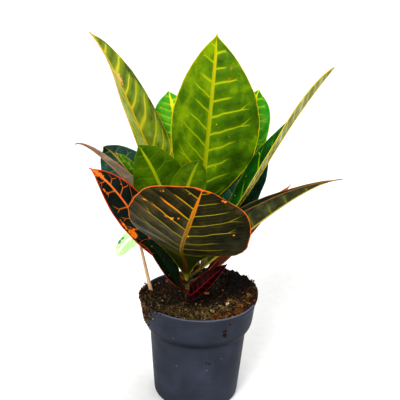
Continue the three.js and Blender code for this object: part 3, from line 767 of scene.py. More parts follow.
def vein_phase(leaf, rib, s, across, side, seed):
    """A number that is whole along each vein of one side, and grows from vein to vein."""
    count, crowd = leaf["veins"]
    first, slope = leaf[side]
    length = rib.blade_length
    rise = np.abs(across) * slope * (1.4 - 0.8 * s) + across**2 / max(leaf["half"]) * leaf.get("bend", 0.12)
    foot = np.clip(s - rise / length, 0.0001, 1.1)
    drift = noise_at(foot * count * 0.6, seed, len(side))
    wander = noise_at(across / 9, s * length / 14, seed)
    return foot**crowd * count - first + 0.3 * drift + 0.09 * wander * smooth(2, 12, np.abs(across))


def spots(leaf, kind, along, across):
    """How much each place of a blade lies in the leaf's spots of one kind."""
    cover = np.zeros_like(along)
    for at, aside, long, wide in leaf.get(kind, ()):
        cover += np.exp(-(((along - at) / long) ** 2) - ((across - aside) / wide) ** 2)
    return cover


def sheet(name, columns, rows):
    """A flat grid with a UV map, to be bent into shape, and its shares across and along, 0 to 1."""
    bpy.ops.object.select_all(action="DESELECT")
    bpy.ops.mesh.primitive_grid_add(x_subdivisions=columns, y_subdivisions=rows, size=1, calc_uvs=True)
    piece = bpy.context.object
    piece.name = name
    flat = np.zeros(len(piece.data.vertices) * 3)
    piece.data.vertices.foreach_get("co", flat)
    flat = flat.reshape(-1, 3) + 0.5
    return piece, flat[:, 0], flat[:, 1]


def lay(piece, points):
    """Puts a mesh's vertices at points given in mm."""
    piece.data.vertices.foreach_set("co", (points * MM).ravel())
    piece.data.update()


def record(piece, name, *values):
    """Keeps three numbers for each vertex, which the materials read."""
    attribute = piece.data.attributes.new(name, "FLOAT_VECTOR", "POINT")
    rows = np.stack(np.broadcast_arrays(*values), axis=-1)
    attribute.data.foreach_set("vector", rows.astype(np.float32).ravel())


def select(*pieces):
    """Selects these pieces and nothing else, and makes the first one active."""
    bpy.ops.object.select_all(action="DESELECT")
    for piece in pieces:
        piece.select_set(True)
    bpy.context.view_layer.objects.active = pieces[0]


def dress(piece, *skins):
    """Gives a piece its materials in their order."""
    piece.data.materials.clear()
    for skin in skins:
        piece.data.materials.append(skin)


def weld(piece):
    """Merges what meets within 0.01 mm, fills what is open and turns every face outwards."""
    select(piece)
    bpy.ops.object.mode_set(mode="EDIT")
    bpy.ops.mesh.select_all(action="SELECT")
    bpy.ops.mesh.remove_doubles(threshold=0.01 * MM)
    bpy.ops.mesh.select_all(action="DESELECT")
    bpy.ops.mesh.select_non_manifold(extend=False)
    bpy.ops.mesh.fill_holes(sides=0)
    bpy.ops.mesh.select_all(action="SELECT")
    bpy.ops.mesh.normals_make_consistent(inside=False)
    bpy.ops.object.mode_set(mode="OBJECT")


def finish_piece(piece, node, crease):
    """Smooths a piece up to an angle in degrees, and names its body and its node."""
    select(piece)
    bpy.ops.object.shade_smooth_by_angle(angle=math.radians(crease))
    piece.name = node + "_dressed"
    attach(piece, "root")
    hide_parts(node)


def leaf_blade(leaf, seed, skins):
    """The blade: one sheet folded along its midrib, quilted between its veins, given its thickness."""
    piece, x, y = sheet(leaf["name"], BLADE_COLUMNS, BLADE_ROWS)

    # The grid is finer near the midrib and near the tip, where the blade bends most
    signed = np.sign(x - 0.5) * np.abs(2 * x - 1) ** 1.25
    reach = np.abs(signed)
    is_left = signed < 0
    s = 1 - (1 - y) ** 1.3
    rib = Midrib(leaf)
    u = rib.stalk_share + (1 - rib.stalk_share) * s
    centre, side, up = leaf_axes(leaf, rib, u, s)
    half = blade_half(leaf, s, u, is_left) * uneven_margin(s, is_left, seed)
    across = half * signed
    opening = np.minimum(s / OPENING_SHARE, 1)
    fold = own_side(leaf["fold"], is_left) + own_side(leaf["curl"], is_left) * reach
    angle = np.radians(fold) * opening
    swing = np.sin(2 * math.pi * WAVES * s + np.where(is_left, 0, WAVE_LAG))
    ripple = leaf["wave"] * reach**2 * opening * swing * np.minimum(half / max(leaf["half"]), 1)
    points = centre + side * (across * np.cos(angle))[:, None]
    points += up * (half * reach * np.sin(angle) + ripple)[:, None]

    # The tissue swells between the veins and over the midrib
    left = vein_phase(leaf, rib, s, across, "left", seed)
    right = vein_phase(leaf, rib, s, across, "right", seed)
    phase = np.where(is_left, left, right)
    swell = smooth(0.0, 0.42, np.abs(phase - np.round(phase))) - 0.5
    window = smooth(0.04, 0.22, reach) * (1 - smooth(0.78, 1.0, reach)) * opening
    raised = leaf["quilt"] * swell * window + 0.3 * np.exp(-((across / 1.4) ** 2)) * (1 - s)
    sense = np.where(is_left, -1.0, 1.0)
    outward = up * np.cos(angle)[:, None] - side * (sense * np.sin(angle))[:, None]
    lay(piece, points + outward * raised[:, None])

    # The materials read where each vertex lies on the blade, in shares, in mm and in veins
    along = s * rib.blade_length
    edge = np.minimum(half - np.abs(across), (1 - s) * rib.blade_length * 0.5)
    record(piece, "blade", s, across, edge)
    record(piece, "veins", left, right, reach)
    record(piece, "tissue", along, across, seed * 17.0)
    record(piece, "marks", spots(leaf, "patches", along, across), spots(leaf, "warm", along, across), 0)
    dress(piece, *skins)
    wall = piece.modifiers.new("Thickness", "SOLIDIFY")
    wall.thickness = BLADE_THICKNESS * MM
    wall.offset = 0
    wall.material_offset = 1
    wall.material_offset_rim = 2
    bpy.ops.object.modifier_apply(modifier=wall.name)
    return piece


def leaf_stalk(leaf, seed):
    """The stalk, and the midrib that it becomes under the blade, thinning to the tip."""
    piece, x, y = sheet(leaf["name"] + "_stalk", STALK_SIDES, STALK_ROWS)
    rib = Midrib(leaf)
    foot = (STEMS[leaf["stem"]]["foot_radius"] - STALK_SUNK) / rib.length
    u = foot + (STALK_END - foot) * y
    s = np.clip((u - rib.stalk_share) / (1 - rib.stalk_share), 0, 1)
    centre, side, up = leaf_axes(leaf, rib, u, s)
    stout = 0.75 + max(leaf["half"]) / 130
    under = smooth(0.0, 0.1, s)
    radius = PETIOLE_RADIUS * stout * (1 - under) + (1.35 * stout * (1 - s) + 0.25) * under
    radius += 0.7 * np.exp(-(((u - foot) * rib.length / 2.5) ** 2))
    sunk = (radius * 0.55 + 0.1) * under
    turn = 2 * math.pi * x
    lay(piece, centre - up * sunk[:, None] + ring(radius, turn, side, 0.9 * up))
    record(piece, "blade", u, 0, 0)
    record(piece, "tissue", u * rib.length, 4 * np.cos(turn), 4 * np.sin(turn) + seed * 17.0)
    weld(piece)
    return piece


def make_leaf(leaf, seed):
    """A leaf's blade and stalk as one piece, with its two faces, its margin and its stalk."""
    name = leaf["name"]
    upper = leaf["upper"]
    skins = (
        leaf_face(name + "_upper_cuticle", upper, -1.0, seed),
        leaf_face(name + "_under_cuticle", leaf["under"], 1.0, seed),
        margin_skin(name + "_margin_tissue", *leaf.get("rim", (upper["margin_foot"], upper["margin"]))),
        stalk_skin(name + "_stalk_tissue", leaf["stalk"]),
    )
    blade = leaf_blade(leaf, seed, skins)
    stalk = leaf_stalk(leaf, seed)
    dress(stalk, *skins)
    for face in stalk.data.polygons:
        face.material_index = len(skins) - 1
    select(blade, stalk)
    bpy.ops.object.join()
    finish_piece(blade, name, crease=50)


def make_stem(name, stem):
    """A young woody stem: a swollen ring at each leaf, old scars low down, and a bud on top."""
    piece, x, y = sheet(name, 20, 90)
    z = STEM_FOOT_HEIGHT + (stem["height"] - STEM_FOOT_HEIGHT) * y
    turn = 2 * math.pi * x
    radius = stem["foot_radius"] + (stem["top_radius"] - stem["foot_radius"]) * y
    joints = [(leaf["leaves_at"] - 2.2, 0.55, 1.8) for leaf in LEAVES if leaf["stem"] == name]
    scars = [(SOIL_LEVEL + 3 + 7.3 * i, 0.18, 0.7) for i in range(STEM_SCARS)]
    for height, swell, spread in joints + scars:
        radius = radius + swell * np.exp(-(((z - height) / spread) ** 2))
    radius = radius * (1 - smooth(0.965, 1.0, y) * 0.8)
    radius = radius * (1 + 0.06 * noise_at(np.cos(turn) * 2, np.sin(turn) * 2, z / 6))
    lay(piece, stem_axis(stem, z) + ring(radius, turn, np.array([1, 0, 0]), np.array([0, 1, 0])))
    weld(piece)
    dress(piece, stem_bark(name + "_bark"))
    finish_piece(piece, name, crease=50)


def stem_bark(name):
    """Young bark: brown cork over purple and green, in fine lengthwise cracks, dull."""
    material, tree, shader = new_material(name)
    place = add(tree, "TexCoord", out="Object")
    drawn = add(tree, "Mapping", place, Scale=(1.0, 1.0, 0.25))
    grain = add(tree, "TexNoise", drawn, Scale=1 / (1.2 * MM), Detail=5.0, Roughness=0.65)
    patch = add(tree, "TexNoise", place, Scale=1 / (9 * MM), Detail=3.0)
    blend = add(tree, "Math", grain, 0.5, patch, operation="MULTIPLY_ADD")
    hues = ((0.5, "#180a08"), (1.0, "#8c8438"), (0.68, "#3c1a10"), (0.84, "#5c5018"))
    colour = add(tree, "ValToRGB", blend, ramp=hues)
    relief = add(tree, "Bump", Strength=0.7, Distance=0.4 * MM, Height=grain)
    put(tree, shader, {
        "Base Color": colour, "Roughness": 0.68, "Specular IOR Level": 0.15, "Normal": relief,
    })
    return material


def make_stake():
    """A round marker stick of planed birch, thinner to the top, with worn ends."""
    piece, x, y = sheet("stake", 24, 60)
    turn = 2 * math.pi * x
    foot = np.array(STAKE_FOOT, float)
    top = np.array(STAKE_TOP, float)
    heading = unit(top - foot)
    across = unit(np.array([1.0, 0, 0]) - heading[0] * heading)
    worn = 1 - 0.25 * smooth(0.985, 1.0, y) - 0.3 * smooth(0.06, 0.0, y)
    radius = STAKE_RADIUS * np.interp(y, [0.35, 1], [1.3, 0.85]) * worn
    radius = radius * (1 + 0.05 * noise_at(np.cos(turn) * 1.5, np.sin(turn) * 1.5, y * 6))
    points = foot + (top - foot) * y[:, None]
    lay(piece, points + ring(radius, turn, across, np.cross(heading, across)))
    weld(piece)
    dress(piece, birch("planed_birch"))
    finish_piece(piece, "stake", crease=40)


def birch(name):
    """Planed birch: straight pale grain that turns browner towards the top, soft sheen."""
    material, tree, shader = new_material(name)
    place = add(tree, "TexCoord", out="Object")
    lean = math.atan2(STAKE_TOP[0] - STAKE_FOOT[0], STAKE_TOP[2] - STAKE_FOOT[2])
    upright = add(tree, "Mapping", place, Rotation=(0, -lean, 0), Scale=(1.0, 1.0, 0.06))
    grain = add(tree, "TexNoise", upright, Scale=1 / (0.7 * MM), Detail=4.0)
    height = add(tree, "SeparateXYZ", place, out=2)
    browner_up = add(tree, "MapRange", height, (SOIL_LEVEL + 4) * MM, STAKE_TOP[2] * MM, 0.0, 0.55)
    colour = add(tree, "ValToRGB", grain, ramp=((0.3, "#b08860"), (0.7, "#e8c8a0"), (0.5, "#d4ac80")))
    colour = add(tree, "Mix", browner_up, colour, "#94704c", data_type="RGBA")
    relief = add(tree, "Bump", Strength=0.4, Distance=0.15 * MM, Height=grain)
    put(tree, shader, {"Base Color": colour, "Roughness": 0.55, "Normal": relief})
    return material


def pot_outside():
    """Radius and height up the outside of the pot, from its underside to the top of its lip."""
    return [
        (BASE_RADIUS - 4.2, 0), (BASE_RADIUS - 2.6, 0), (BASE_RADIUS - 1.2, 0.5), (BASE_RADIUS - 0.3, 1.8),
        (BASE_RADIUS + 0.1, 4), (BASE_RADIUS + 0.6, 10), ((BASE_RADIUS + BODY_TOP_RADIUS) / 2, BODY_TOP / 2),
        (BODY_TOP_RADIUS - 0.3, BODY_TOP - 4), (BODY_TOP_RADIUS, BODY_TOP - 1),
        (BODY_TOP_RADIUS + 0.6, BODY_TOP - 0.2), (BODY_TOP_RADIUS + 1.8, BODY_TOP + 0.4),
        (BODY_TOP_RADIUS + 3.4, BODY_TOP + 2), (COLLAR_FOOT_RADIUS - 1.6, BODY_TOP + 4.6),
        (COLLAR_FOOT_RADIUS - 0.6, BODY_TOP + 7.6), (COLLAR_FOOT_RADIUS, BODY_TOP + 11),
        (COLLAR_FOOT_RADIUS + 1, BODY_TOP + 20), (RIM_RADIUS - 1, POT_HEIGHT - 4.4),
        (RIM_RADIUS - 0.5, POT_HEIGHT - 3.4), (RIM_RADIUS, POT_HEIGHT - 2.8),
        (RIM_RADIUS, POT_HEIGHT - 0.9), (RIM_RADIUS - 0.3, POT_HEIGHT - 0.25),
        (RIM_RADIUS - 0.8, POT_HEIGHT),
    ]


def pot_inside():
    """Radius and height over the pot's lip and down its inside to the floor."""
    return [
        (RIM_RADIUS + 0.4 - LIP_WIDTH, POT_HEIGHT), (RIM_RADIUS - LIP_WIDTH, POT_HEIGHT - 0.5),
        (RIM_RADIUS - 0.3 - LIP_WIDTH, POT_HEIGHT - 2), (RIM_RADIUS - 0.5 - LIP_WIDTH, POT_HEIGHT - 4),
        (COLLAR_FOOT_RADIUS - POT_WALL, BODY_TOP + 11), (BODY_TOP_RADIUS + 3.4 - POT_WALL, BODY_TOP + 4.6),
        (BODY_TOP_RADIUS - POT_WALL, BODY_TOP), (BASE_RADIUS + 0.2 - POT_WALL, 5),
        (BASE_RADIUS - 4, FLOOR_THICKNESS),
    ]


def pot_radius_at(height):
    """Outer radius of the pot at a height."""
    radii, heights = zip(*pot_outside()[1:])
    return float(np.interp(height, heights, radii))


def drawn_round(name, profile, sides, start):
    """A round piece, drawn up ring by ring along a profile of radius and height in mm."""
    radius, height = profile[0]
    bpy.ops.object.select_all(action="DESELECT")
    bpy.ops.mesh.primitive_circle_add(
        vertices=sides, radius=radius * MM, fill_type=start, location=(0, 0, height * MM)
    )
    bpy.ops.object.transform_apply(location=True, rotation=False, scale=False)
    piece = bpy.context.object
    piece.name = name
    bpy.ops.object.mode_set(mode="EDIT")
    bpy.ops.mesh.select_all(action="SELECT")
    for next_radius, next_height in profile[1:]:
        rise = (next_height - height) * MM
        share = next_radius / radius
        bpy.ops.mesh.extrude_region_move(TRANSFORM_OT_translate={"value": (0, 0, rise)})
        bpy.ops.transform.resize(value=(share, share, 1), center_override=(0, 0, next_height * MM))
        radius = next_radius
        height = next_height
    bpy.ops.object.mode_set(mode="OBJECT")
    return piece


def make_pot():
    """The nursery pot, drawn up ring by ring from its base as a potter would, then drilled."""
    pot = drawn_round("nursery_pot", pot_outside() + pot_inside(), 128, "NGON")
    weld(pot)
    for i in range(DRAIN_COUNT):
        drill(pot, 2 * math.pi * (i + 0.5) / DRAIN_COUNT)
    dress(pot, polypropylene("moulded_polypropylene"))
    finish_piece(pot, "pot", crease=35)


def drill(pot, turn):
    """One drain hole through the floor, with a cutter that is removed after."""
    place = from_axis(DRAIN_CIRCLE, turn, 0) * MM
    bpy.ops.object.select_all(action="DESELECT")
    bpy.ops.mesh.primitive_cylinder_add(vertices=24, radius=DRAIN_RADIUS * MM, depth=8 * MM, location=place)
    cutter = bpy.context.object
    select(pot)
    hole = pot.modifiers.new("Drain", "BOOLEAN")
    hole.operation = "DIFFERENCE"
    hole.solver = "EXACT"
    hole.object = cutter
    bpy.ops.object.modifier_apply(modifier=hole.name)
    bpy.data.objects.remove(cutter)


def polypropylene(name):
    """Injection-moulded polypropylene, slate grey: satin, faintly pebbled, scuffed and dusty with soil."""
    material, tree, shader = new_material(name)
    place = add(tree, "TexCoord", out="Object")
    height = add(tree, "SeparateXYZ", place, out=2)
    scuffs = add(tree, "Mapping", place, Scale=(0.3, 0.3, 1.6), Rotation=(0.3, 0.1, 0))
    rubbed = add(tree, "TexNoise", scuffs, Scale=1 / (6 * MM), Detail=6.0, Roughness=0.7)
    worn = add(tree, "MapRange", rubbed, 0.62, 0.74, 0.0, 0.22)
    collar = add(tree, "MapRange", height, (BODY_TOP - 1) * MM, (POT_HEIGHT - 1) * MM, 0.0, 0.12)
    grime = add(tree, "TexNoise", place, Scale=1 / (5 * MM), Detail=6.0, Roughness=0.75)
    dusty = add(tree, "Math", grime, collar, operation="ADD")
    soiled = add(tree, "MapRange", dusty, 0.74, 0.8, 0.0, 0.8)
    specks = add(tree, "TexVoronoi", place, Scale=1 / (13 * MM), Randomness=1.0)
    speck = add(tree, "MapRange", specks, 0.035, 0.05, 0.75, 0.0)
    cloud = add(tree, "TexNoise", place, Scale=1 / (30 * MM), Detail=4.0)
    colour = add(tree, "ValToRGB", cloud, ramp=((0.3, "#2d3039"), (0.7, "#3b3e4b"), (0.5, "#343741")))
    for cover, hue in ((worn, "#4e525f"), (soiled, "#2c2018"), (speck, "#8a7c68")):
        colour = add(tree, "Mix", cover, colour, hue, data_type="RGBA")

    # Painted shade darkens the corner under the collar, and a painted highlight makes the lip pale
    under = add(tree, "Math", height, (BODY_TOP + 2) * MM, operation="SUBTRACT")
    under = add(tree, "Math", under, operation="ABSOLUTE")
    crease = add(tree, "MapRange", under, 0.0, 8 * MM, 0.5, 1.0, interpolation_type="SMOOTHSTEP")
    colour = add(tree, "VectorMath", colour, operation="SCALE", Scale=crease)
    lip = add(tree, "MapRange", height, (POT_HEIGHT - 1.2) * MM, (POT_HEIGHT - 0.2) * MM, 0.0, 0.8)
    colour = add(tree, "Mix", lip, colour, "#64687a", data_type="RGBA")
    rough = add(tree, "MapRange", rubbed, 0.35, 0.7, 0.38, 0.52)
    pebble = add(tree, "TexNoise", place, Scale=1 / (1.1 * MM), Detail=2.0)
    relief = add(tree, "Bump", Strength=0.12, Distance=0.12 * MM, Height=pebble)
    put(tree, shader, {
        "Base Color": colour, "Roughness": rough, "IOR": 1.49, "Specular IOR Level": 0.03,
        "Normal": relief,
    })
    return material


def heap(turn):
    """How far the mix is heaped over the rim in a direction: high behind on the right, low on the left."""
    rises = []
    for centre, width, share in HEAPS:
        near = np.cos(turn - math.radians(centre))
        rises.append(share * smooth(math.cos(math.radians(width)), 1, near))
    return np.maximum(*rises)


def hollow(x, y):
    """Depth of the dent in the mix where the stake was pushed in."""
    away = (x - DENT_CENTRE[0]) ** 2 + (y - DENT_CENTRE[1]) ** 2
    return DENT_DEPTH * np.exp(-away / DENT_RADIUS**2)


def soil_edge(turn):
    """Radius at which the mix ends: inside the lip, or out over it where it is heaped."""
    over = heap(turn)
    return SOIL_RADIUS + (RIM_RADIUS + SOIL_OVERHANG * over - SOIL_RADIUS) * smooth(0.3, 0.55, over)


def soil_top(x, y):
    """Height of the mix at each of a row of places: the heap, soft lumps, and clods down to 1 mm."""
    radius = np.hypot(x, y)
    turn = np.arctan2(y, x)
    lumps = np.sin(x * 0.31 + 1) * np.cos(y * 0.27) + 0.6 * np.sin(x * 0.62 - y * 0.55)
    height = POT_HEIGHT - SOIL_EDGE_DROP + SOIL_HEAP * (radius / RIM_RADIUS) ** 3 * heap(turn) + 0.9 * lumps
    over_lip = smooth(SOIL_RADIUS - 3, SOIL_RADIUS, radius) * smooth(0.25, 0.45, heap(turn))
    height = np.maximum(height - hollow(x, y), (POT_HEIGHT + 1.0) * over_lip)
    clods = np.array([noise.fractal(Vector((a / 6, b / 6, 3.1)), 0.9, 2.1, 4) for a, b in zip(x, y)])
    clods = clods + 0.6 * np.abs(noise_at(x / 2.2, y / 2.2, 7.7))
    return height + (1.5 + 0.8 * smooth(-30, 10, y)) * clods - 0.6


def mix_height(x, y):
    """Height of the mix at one place."""
    return float(soil_top(np.array([x]), np.array([y]))[0])


def on_mix(turn, share):
    """The place on the mix in a direction, at a share of the way from the middle to its edge."""
    radius = float(soil_edge(turn)) * share
    return radius * math.cos(turn), radius * math.sin(turn)


# The share of the mix's grid that is its rough top, and the radius and height of the plug under it at
# four shares of the way down
SOIL_TOP_SHARE = 0.8
PLUG_SHARES = [0, 0.25, 0.85, 1]
PLUG_RADII = [SOIL_RADIUS, 48.6, 42.6, 0]
PLUG_HEIGHTS = [POT_HEIGHT - 8, BODY_TOP, 3, 3]


def make_soil():
    """The potting mix: a rough top over a plug that fills the pot, with crumbs, fibres and chips on it."""
    piece, x, y = sheet("potting_mix", 220, 110)
    turn = 2 * math.pi * x
    top = y < SOIL_TOP_SHARE
    share = y / SOIL_TOP_SHARE
    down = np.clip((y - SOIL_TOP_SHARE) / (1 - SOIL_TOP_SHARE), 0, 1)
    plug = np.interp(down, PLUG_SHARES, PLUG_RADII)
    radius = np.where(top, soil_edge(turn) * np.minimum(share, 1), plug)
    px = radius * np.cos(turn)
    py = radius * np.sin(turn)
    height = soil_top(px, py) - 1.6 * smooth(0.93, 1.0, share)
    pz = np.where(top, height, np.interp(down, PLUG_SHARES, PLUG_HEIGHTS))
    lay(piece, np.stack([px, py, pz], axis=-1))
    record(piece, "tint", np.clip(0.12 + 0.25 * noise_at(px / 16, py / 16, 1.3), 0, 0.3), 0, 0)
    weld(piece)
    parts = [piece, crumbs(), fibres(), chips()]
    mix = peat_mix("peat_bark_and_coir")
    for part in parts:
        dress(part, mix)
    select(*parts)
    bpy.ops.object.join()
    finish_piece(piece, "soil", crease=30)


def ball(subdivisions):
    """Vertices and faces of a small ball, which is made once and then copied many times."""
    bpy.ops.object.select_all(action="DESELECT")
    bpy.ops.mesh.primitive_ico_sphere_add(subdivisions=subdivisions, radius=1)
    model = bpy.context.object
    points = np.array([v.co for v in model.data.vertices])
    faces = [tuple(f.vertices) for f in model.data.polygons]
    bpy.data.objects.remove(model)
    return points, faces


def in_scene(name, data):
    """A new object that shows its data in the scene."""
    thing = bpy.data.objects.new(name, data)
    bpy.context.scene.collection.objects.link(thing)
    return thing


def scattered(name, shapes):
    """One piece from many small closed shapes, each given by its points in mm, faces and tint."""
    vertices = []
    faces = []
    tints = []
    for points, shape_faces, tint in shapes:
        start = len(vertices)
        vertices.extend((np.array(points) * MM).tolist())
        faces.extend(tuple(start + i for i in face) for face in shape_faces)
        tints.extend([tint] * len(points))
    mesh = bpy.data.meshes.new(name)
    mesh.from_pydata(vertices, [], faces)
    mesh.update()
    piece = in_scene(name, mesh)
    record(piece, "tint", np.array(tints), 0, 0)
    return piece


def turned_about(draw):
    """A random turn as a 3 by 3 matrix."""
    axis = Vector((draw.uniform(-1, 1), draw.uniform(-1, 1), draw.uniform(-1, 1))).normalized()
    return np.array(Matrix.Rotation(draw.uniform(0, 2 * math.pi), 3, axis))


def mix_tint(draw, x, y):
    """Tint of a bit of mix: darker on the heap, with more tan coir and bark to the front right."""
    front = max(0.0, min(1.0, (x * 0.5 - y) / 60 + 0.15))
    heaped = math.exp(-((x - HEAP_CENTRE[0]) ** 2 + (y - HEAP_CENTRE[1]) ** 2) / 350)
    right = float(smooth(45, 75, x - y))
    return (0.92 - 0.6 * heaped) * draw.random() ** (4.2 - 3 * front + 1.5 * heaped - 0.5 * right * front)


def crumbs():
    """Crumbs of peat and bark, from 0.7 to 3 mm across, more small ones than large."""
    draw = random.Random(11)
    models = (ball(1), ball(2))
    shapes = []
    for i in range(CRUMB_COUNT):
        turn = draw.uniform(0, 2 * math.pi)
        x, y = on_mix(turn, math.sqrt(draw.random()) * 0.995)
        size = 0.35 + 1.1 * draw.random() ** 3
        points, faces = models[size > LARGE_CRUMB]
        rough = np.array([1 + 0.45 * noise.noise(Vector(p) * 1.7 + Vector((i, 0, 0))) for p in points])
        stretch = np.array([draw.uniform(0.7, 1.3), draw.uniform(0.7, 1.2), draw.uniform(0.5, 0.95)])
        placed = (points * rough[:, None] * stretch * size) @ turned_about(draw).T
        place = np.array([x, y, mix_height(x, y) + size * 0.25])
        shapes.append((placed + place, faces, mix_tint(draw, x, y)))
    return scattered("crumbs", shapes + spilled_crumbs(draw, models) + stray_crumbs(draw, models[1]))


def spilled_crumbs(draw, models):
    """Mix that lies over the lip and clings to the collar on the left."""
    shapes = []
    for i in range(SPILL_COUNT):
        drop = draw.random() ** 2 * SPILL_DEPTH
        turn = math.radians(draw.gauss(SPILL_SIDE[0] - 0.1 * drop, SPILL_SIDE[1] - 0.35 * drop))
        size = 0.4 + 0.9 * draw.random() ** 2
        points, faces = models[size > LARGE_CRUMB]
        loose = 1.8 * draw.random() * (1 - drop / SPILL_DEPTH)
        radius = pot_radius_at(POT_HEIGHT - drop) + size * 0.35 + loose
        placed = (points * size * np.array([1, 0.9, 0.8])) @ turned_about(draw).T
        place = from_axis(radius, turn, POT_HEIGHT + 0.6 - drop)
        shapes.append((placed + place, faces, 0.15 + 0.7 * draw.random() ** 1.3))
    return shapes


# Direction in degrees, height and size in mm of the bits of mix that cling to the pot's front
STRAY_CRUMBS = [
    (-63, 93, 1.9), (-62, 97, 0.9), (-58, 103, 0.7), (-79, 58, 0.6), (-75, 57, 0.7), (-67.5, 58, 0.5),
    (-108, 25, 0.5),
]


def stray_crumbs(draw, model):
    """The bits of mix on the pot's front, each one a cluster of a few grains."""
    points, faces = model
    shapes = []
    for degrees, height, size in STRAY_CRUMBS:
        for i in range(STRAY_GRAINS):
            grain = size * draw.uniform(0.35, 1.0)
            placed = (points * grain) @ turned_about(draw).T
            shift = np.array([draw.gauss(0, size * 0.5), 0, draw.gauss(0, size * 0.8)])
            place = from_axis(pot_radius_at(height) + grain * 0.3, math.radians(degrees), height)
            shapes.append((placed + place + shift, faces, draw.random() * 0.3))
    return shapes


def fibres():
    """Coir and root fibres: thin bent threads, 3 to 10 mm long, brown to tan, every third one arched."""
    draw = random.Random(23)
    shapes = []
    for i in range(FIBRE_COUNT):
        turn = draw.uniform(0, 2 * math.pi)
        if i % 3:
            turn = math.radians(draw.gauss(*FIBRE_SIDE))
        x, y = on_mix(turn, (1 - 0.5 * draw.random() ** 1.3) * 0.97)
        aim = draw.uniform(0, 2 * math.pi)
        length = draw.uniform(3, 10)
        bend = draw.uniform(-1.6, 1.6)
        thick = draw.uniform(0.1, 0.24)
        path = []
        for k in range(FIBRE_POINTS):
            t = k / (FIBRE_POINTS - 1)
            angle = aim + bend * t
            lift = draw.uniform(0.1, 0.9) + 1.8 * math.sin(math.pi * t) * (i % 3 == 0)
            lift = lift if y < 5 else 0.3 * lift
            at = np.array([x + length * t * math.cos(angle), y + length * t * math.sin(angle)])
            at = at * min(1, float(soil_edge(math.atan2(at[1], at[0]))) / max(np.hypot(*at), 1))
            path.append((at[0], at[1], mix_height(at[0], at[1]) + lift))
        shapes.append((*thread(path, thick), 0.4 + 0.5 * draw.random()))
    return scattered("fibres", shapes)


def thread(path, thick):
    """A closed three-sided thread along a path, half as thick at its end."""
    points = []
    faces = [(2, 1, 0)]
    last = len(path) - 1
    for k, centre in enumerate(path):
        before = np.array(path[max(k - 1, 0)])
        after = np.array(path[min(k + 1, last)])
        heading = unit(after - before)
        side = unit(np.cross(heading, [0.1, 0.2, 1]))
        other = np.cross(heading, side)
        taper = thick * (1 - 0.5 * k / last)
        for j in range(3):
            turn = 2 * math.pi * j / 3
            points.append(np.array(centre) + taper * (side * math.cos(turn) + other * math.sin(turn)))
    for k in range(last):
        for j in range(3):
            n = (j + 1) % 3
            faces.append((3 * k + j, 3 * k + n, 3 * k + 3 + n, 3 * k + 3 + j))
    faces.append((3 * last, 3 * last + 1, 3 * last + 2))
    return points, faces


# Place and size in mm of the pale wood chips that lie on the mix, and their tint
PALE_CHIPS = [(7.9, 4.8, 2.4, 0.95), (29.2, -16.2, 2.0, 1.3)]


def chips():
    """Flakes of bark, 2 to 7 mm long, most of them at the front right, and two of pale wood."""
    draw = random.Random(37)
    shapes = []
    for i in range(CHIP_COUNT):
        turn = math.radians(draw.gauss(*CHIP_SIDE))
        x, y = on_mix(turn, (1 - 0.42 * draw.random()) * 0.96)
        size = draw.uniform(0.7, 2.2)
        shapes.append(flake(draw, x, y, size, 0.45 + 0.4 * draw.random()))
    for x, y, size, tint in PALE_CHIPS:
        shapes.append(flake(draw, x, y, size, tint))
    return scattered("chips", shapes)


def flake(draw, x, y, size, tint):
    """A thin, broken flake that lies nearly flat on the mix."""
    upper = []
    for k in range(CHIP_CORNERS):
        turn = 2 * math.pi * k / CHIP_CORNERS
        far = size * draw.uniform(0.7, 1.25)
        high = size * draw.uniform(0.1, 0.35)
        upper.append([far * 1.5 * math.cos(turn), far * 0.75 * math.sin(turn), high])
    lower = [[a * 1.05, b * 1.05, c - 0.35 * size] for a, b, c in upper]
    tilt = Matrix.Rotation(draw.uniform(-0.5, 0.5), 3, "X") @ Matrix.Rotation(draw.uniform(0, 6.28), 3, "Z")
    place = np.array([x, y, mix_height(x, y) + 0.3 * size])
    points = np.array(upper + lower) @ np.array(tilt).T + place
    faces = [tuple(range(CHIP_CORNERS)), tuple(range(2 * CHIP_CORNERS - 1, CHIP_CORNERS - 1, -1))]
    for k in range(CHIP_CORNERS):
        n = (k + 1) % CHIP_CORNERS
        faces.append((k, CHIP_CORNERS + k, CHIP_CORNERS + n, n))
    return points, faces, tint


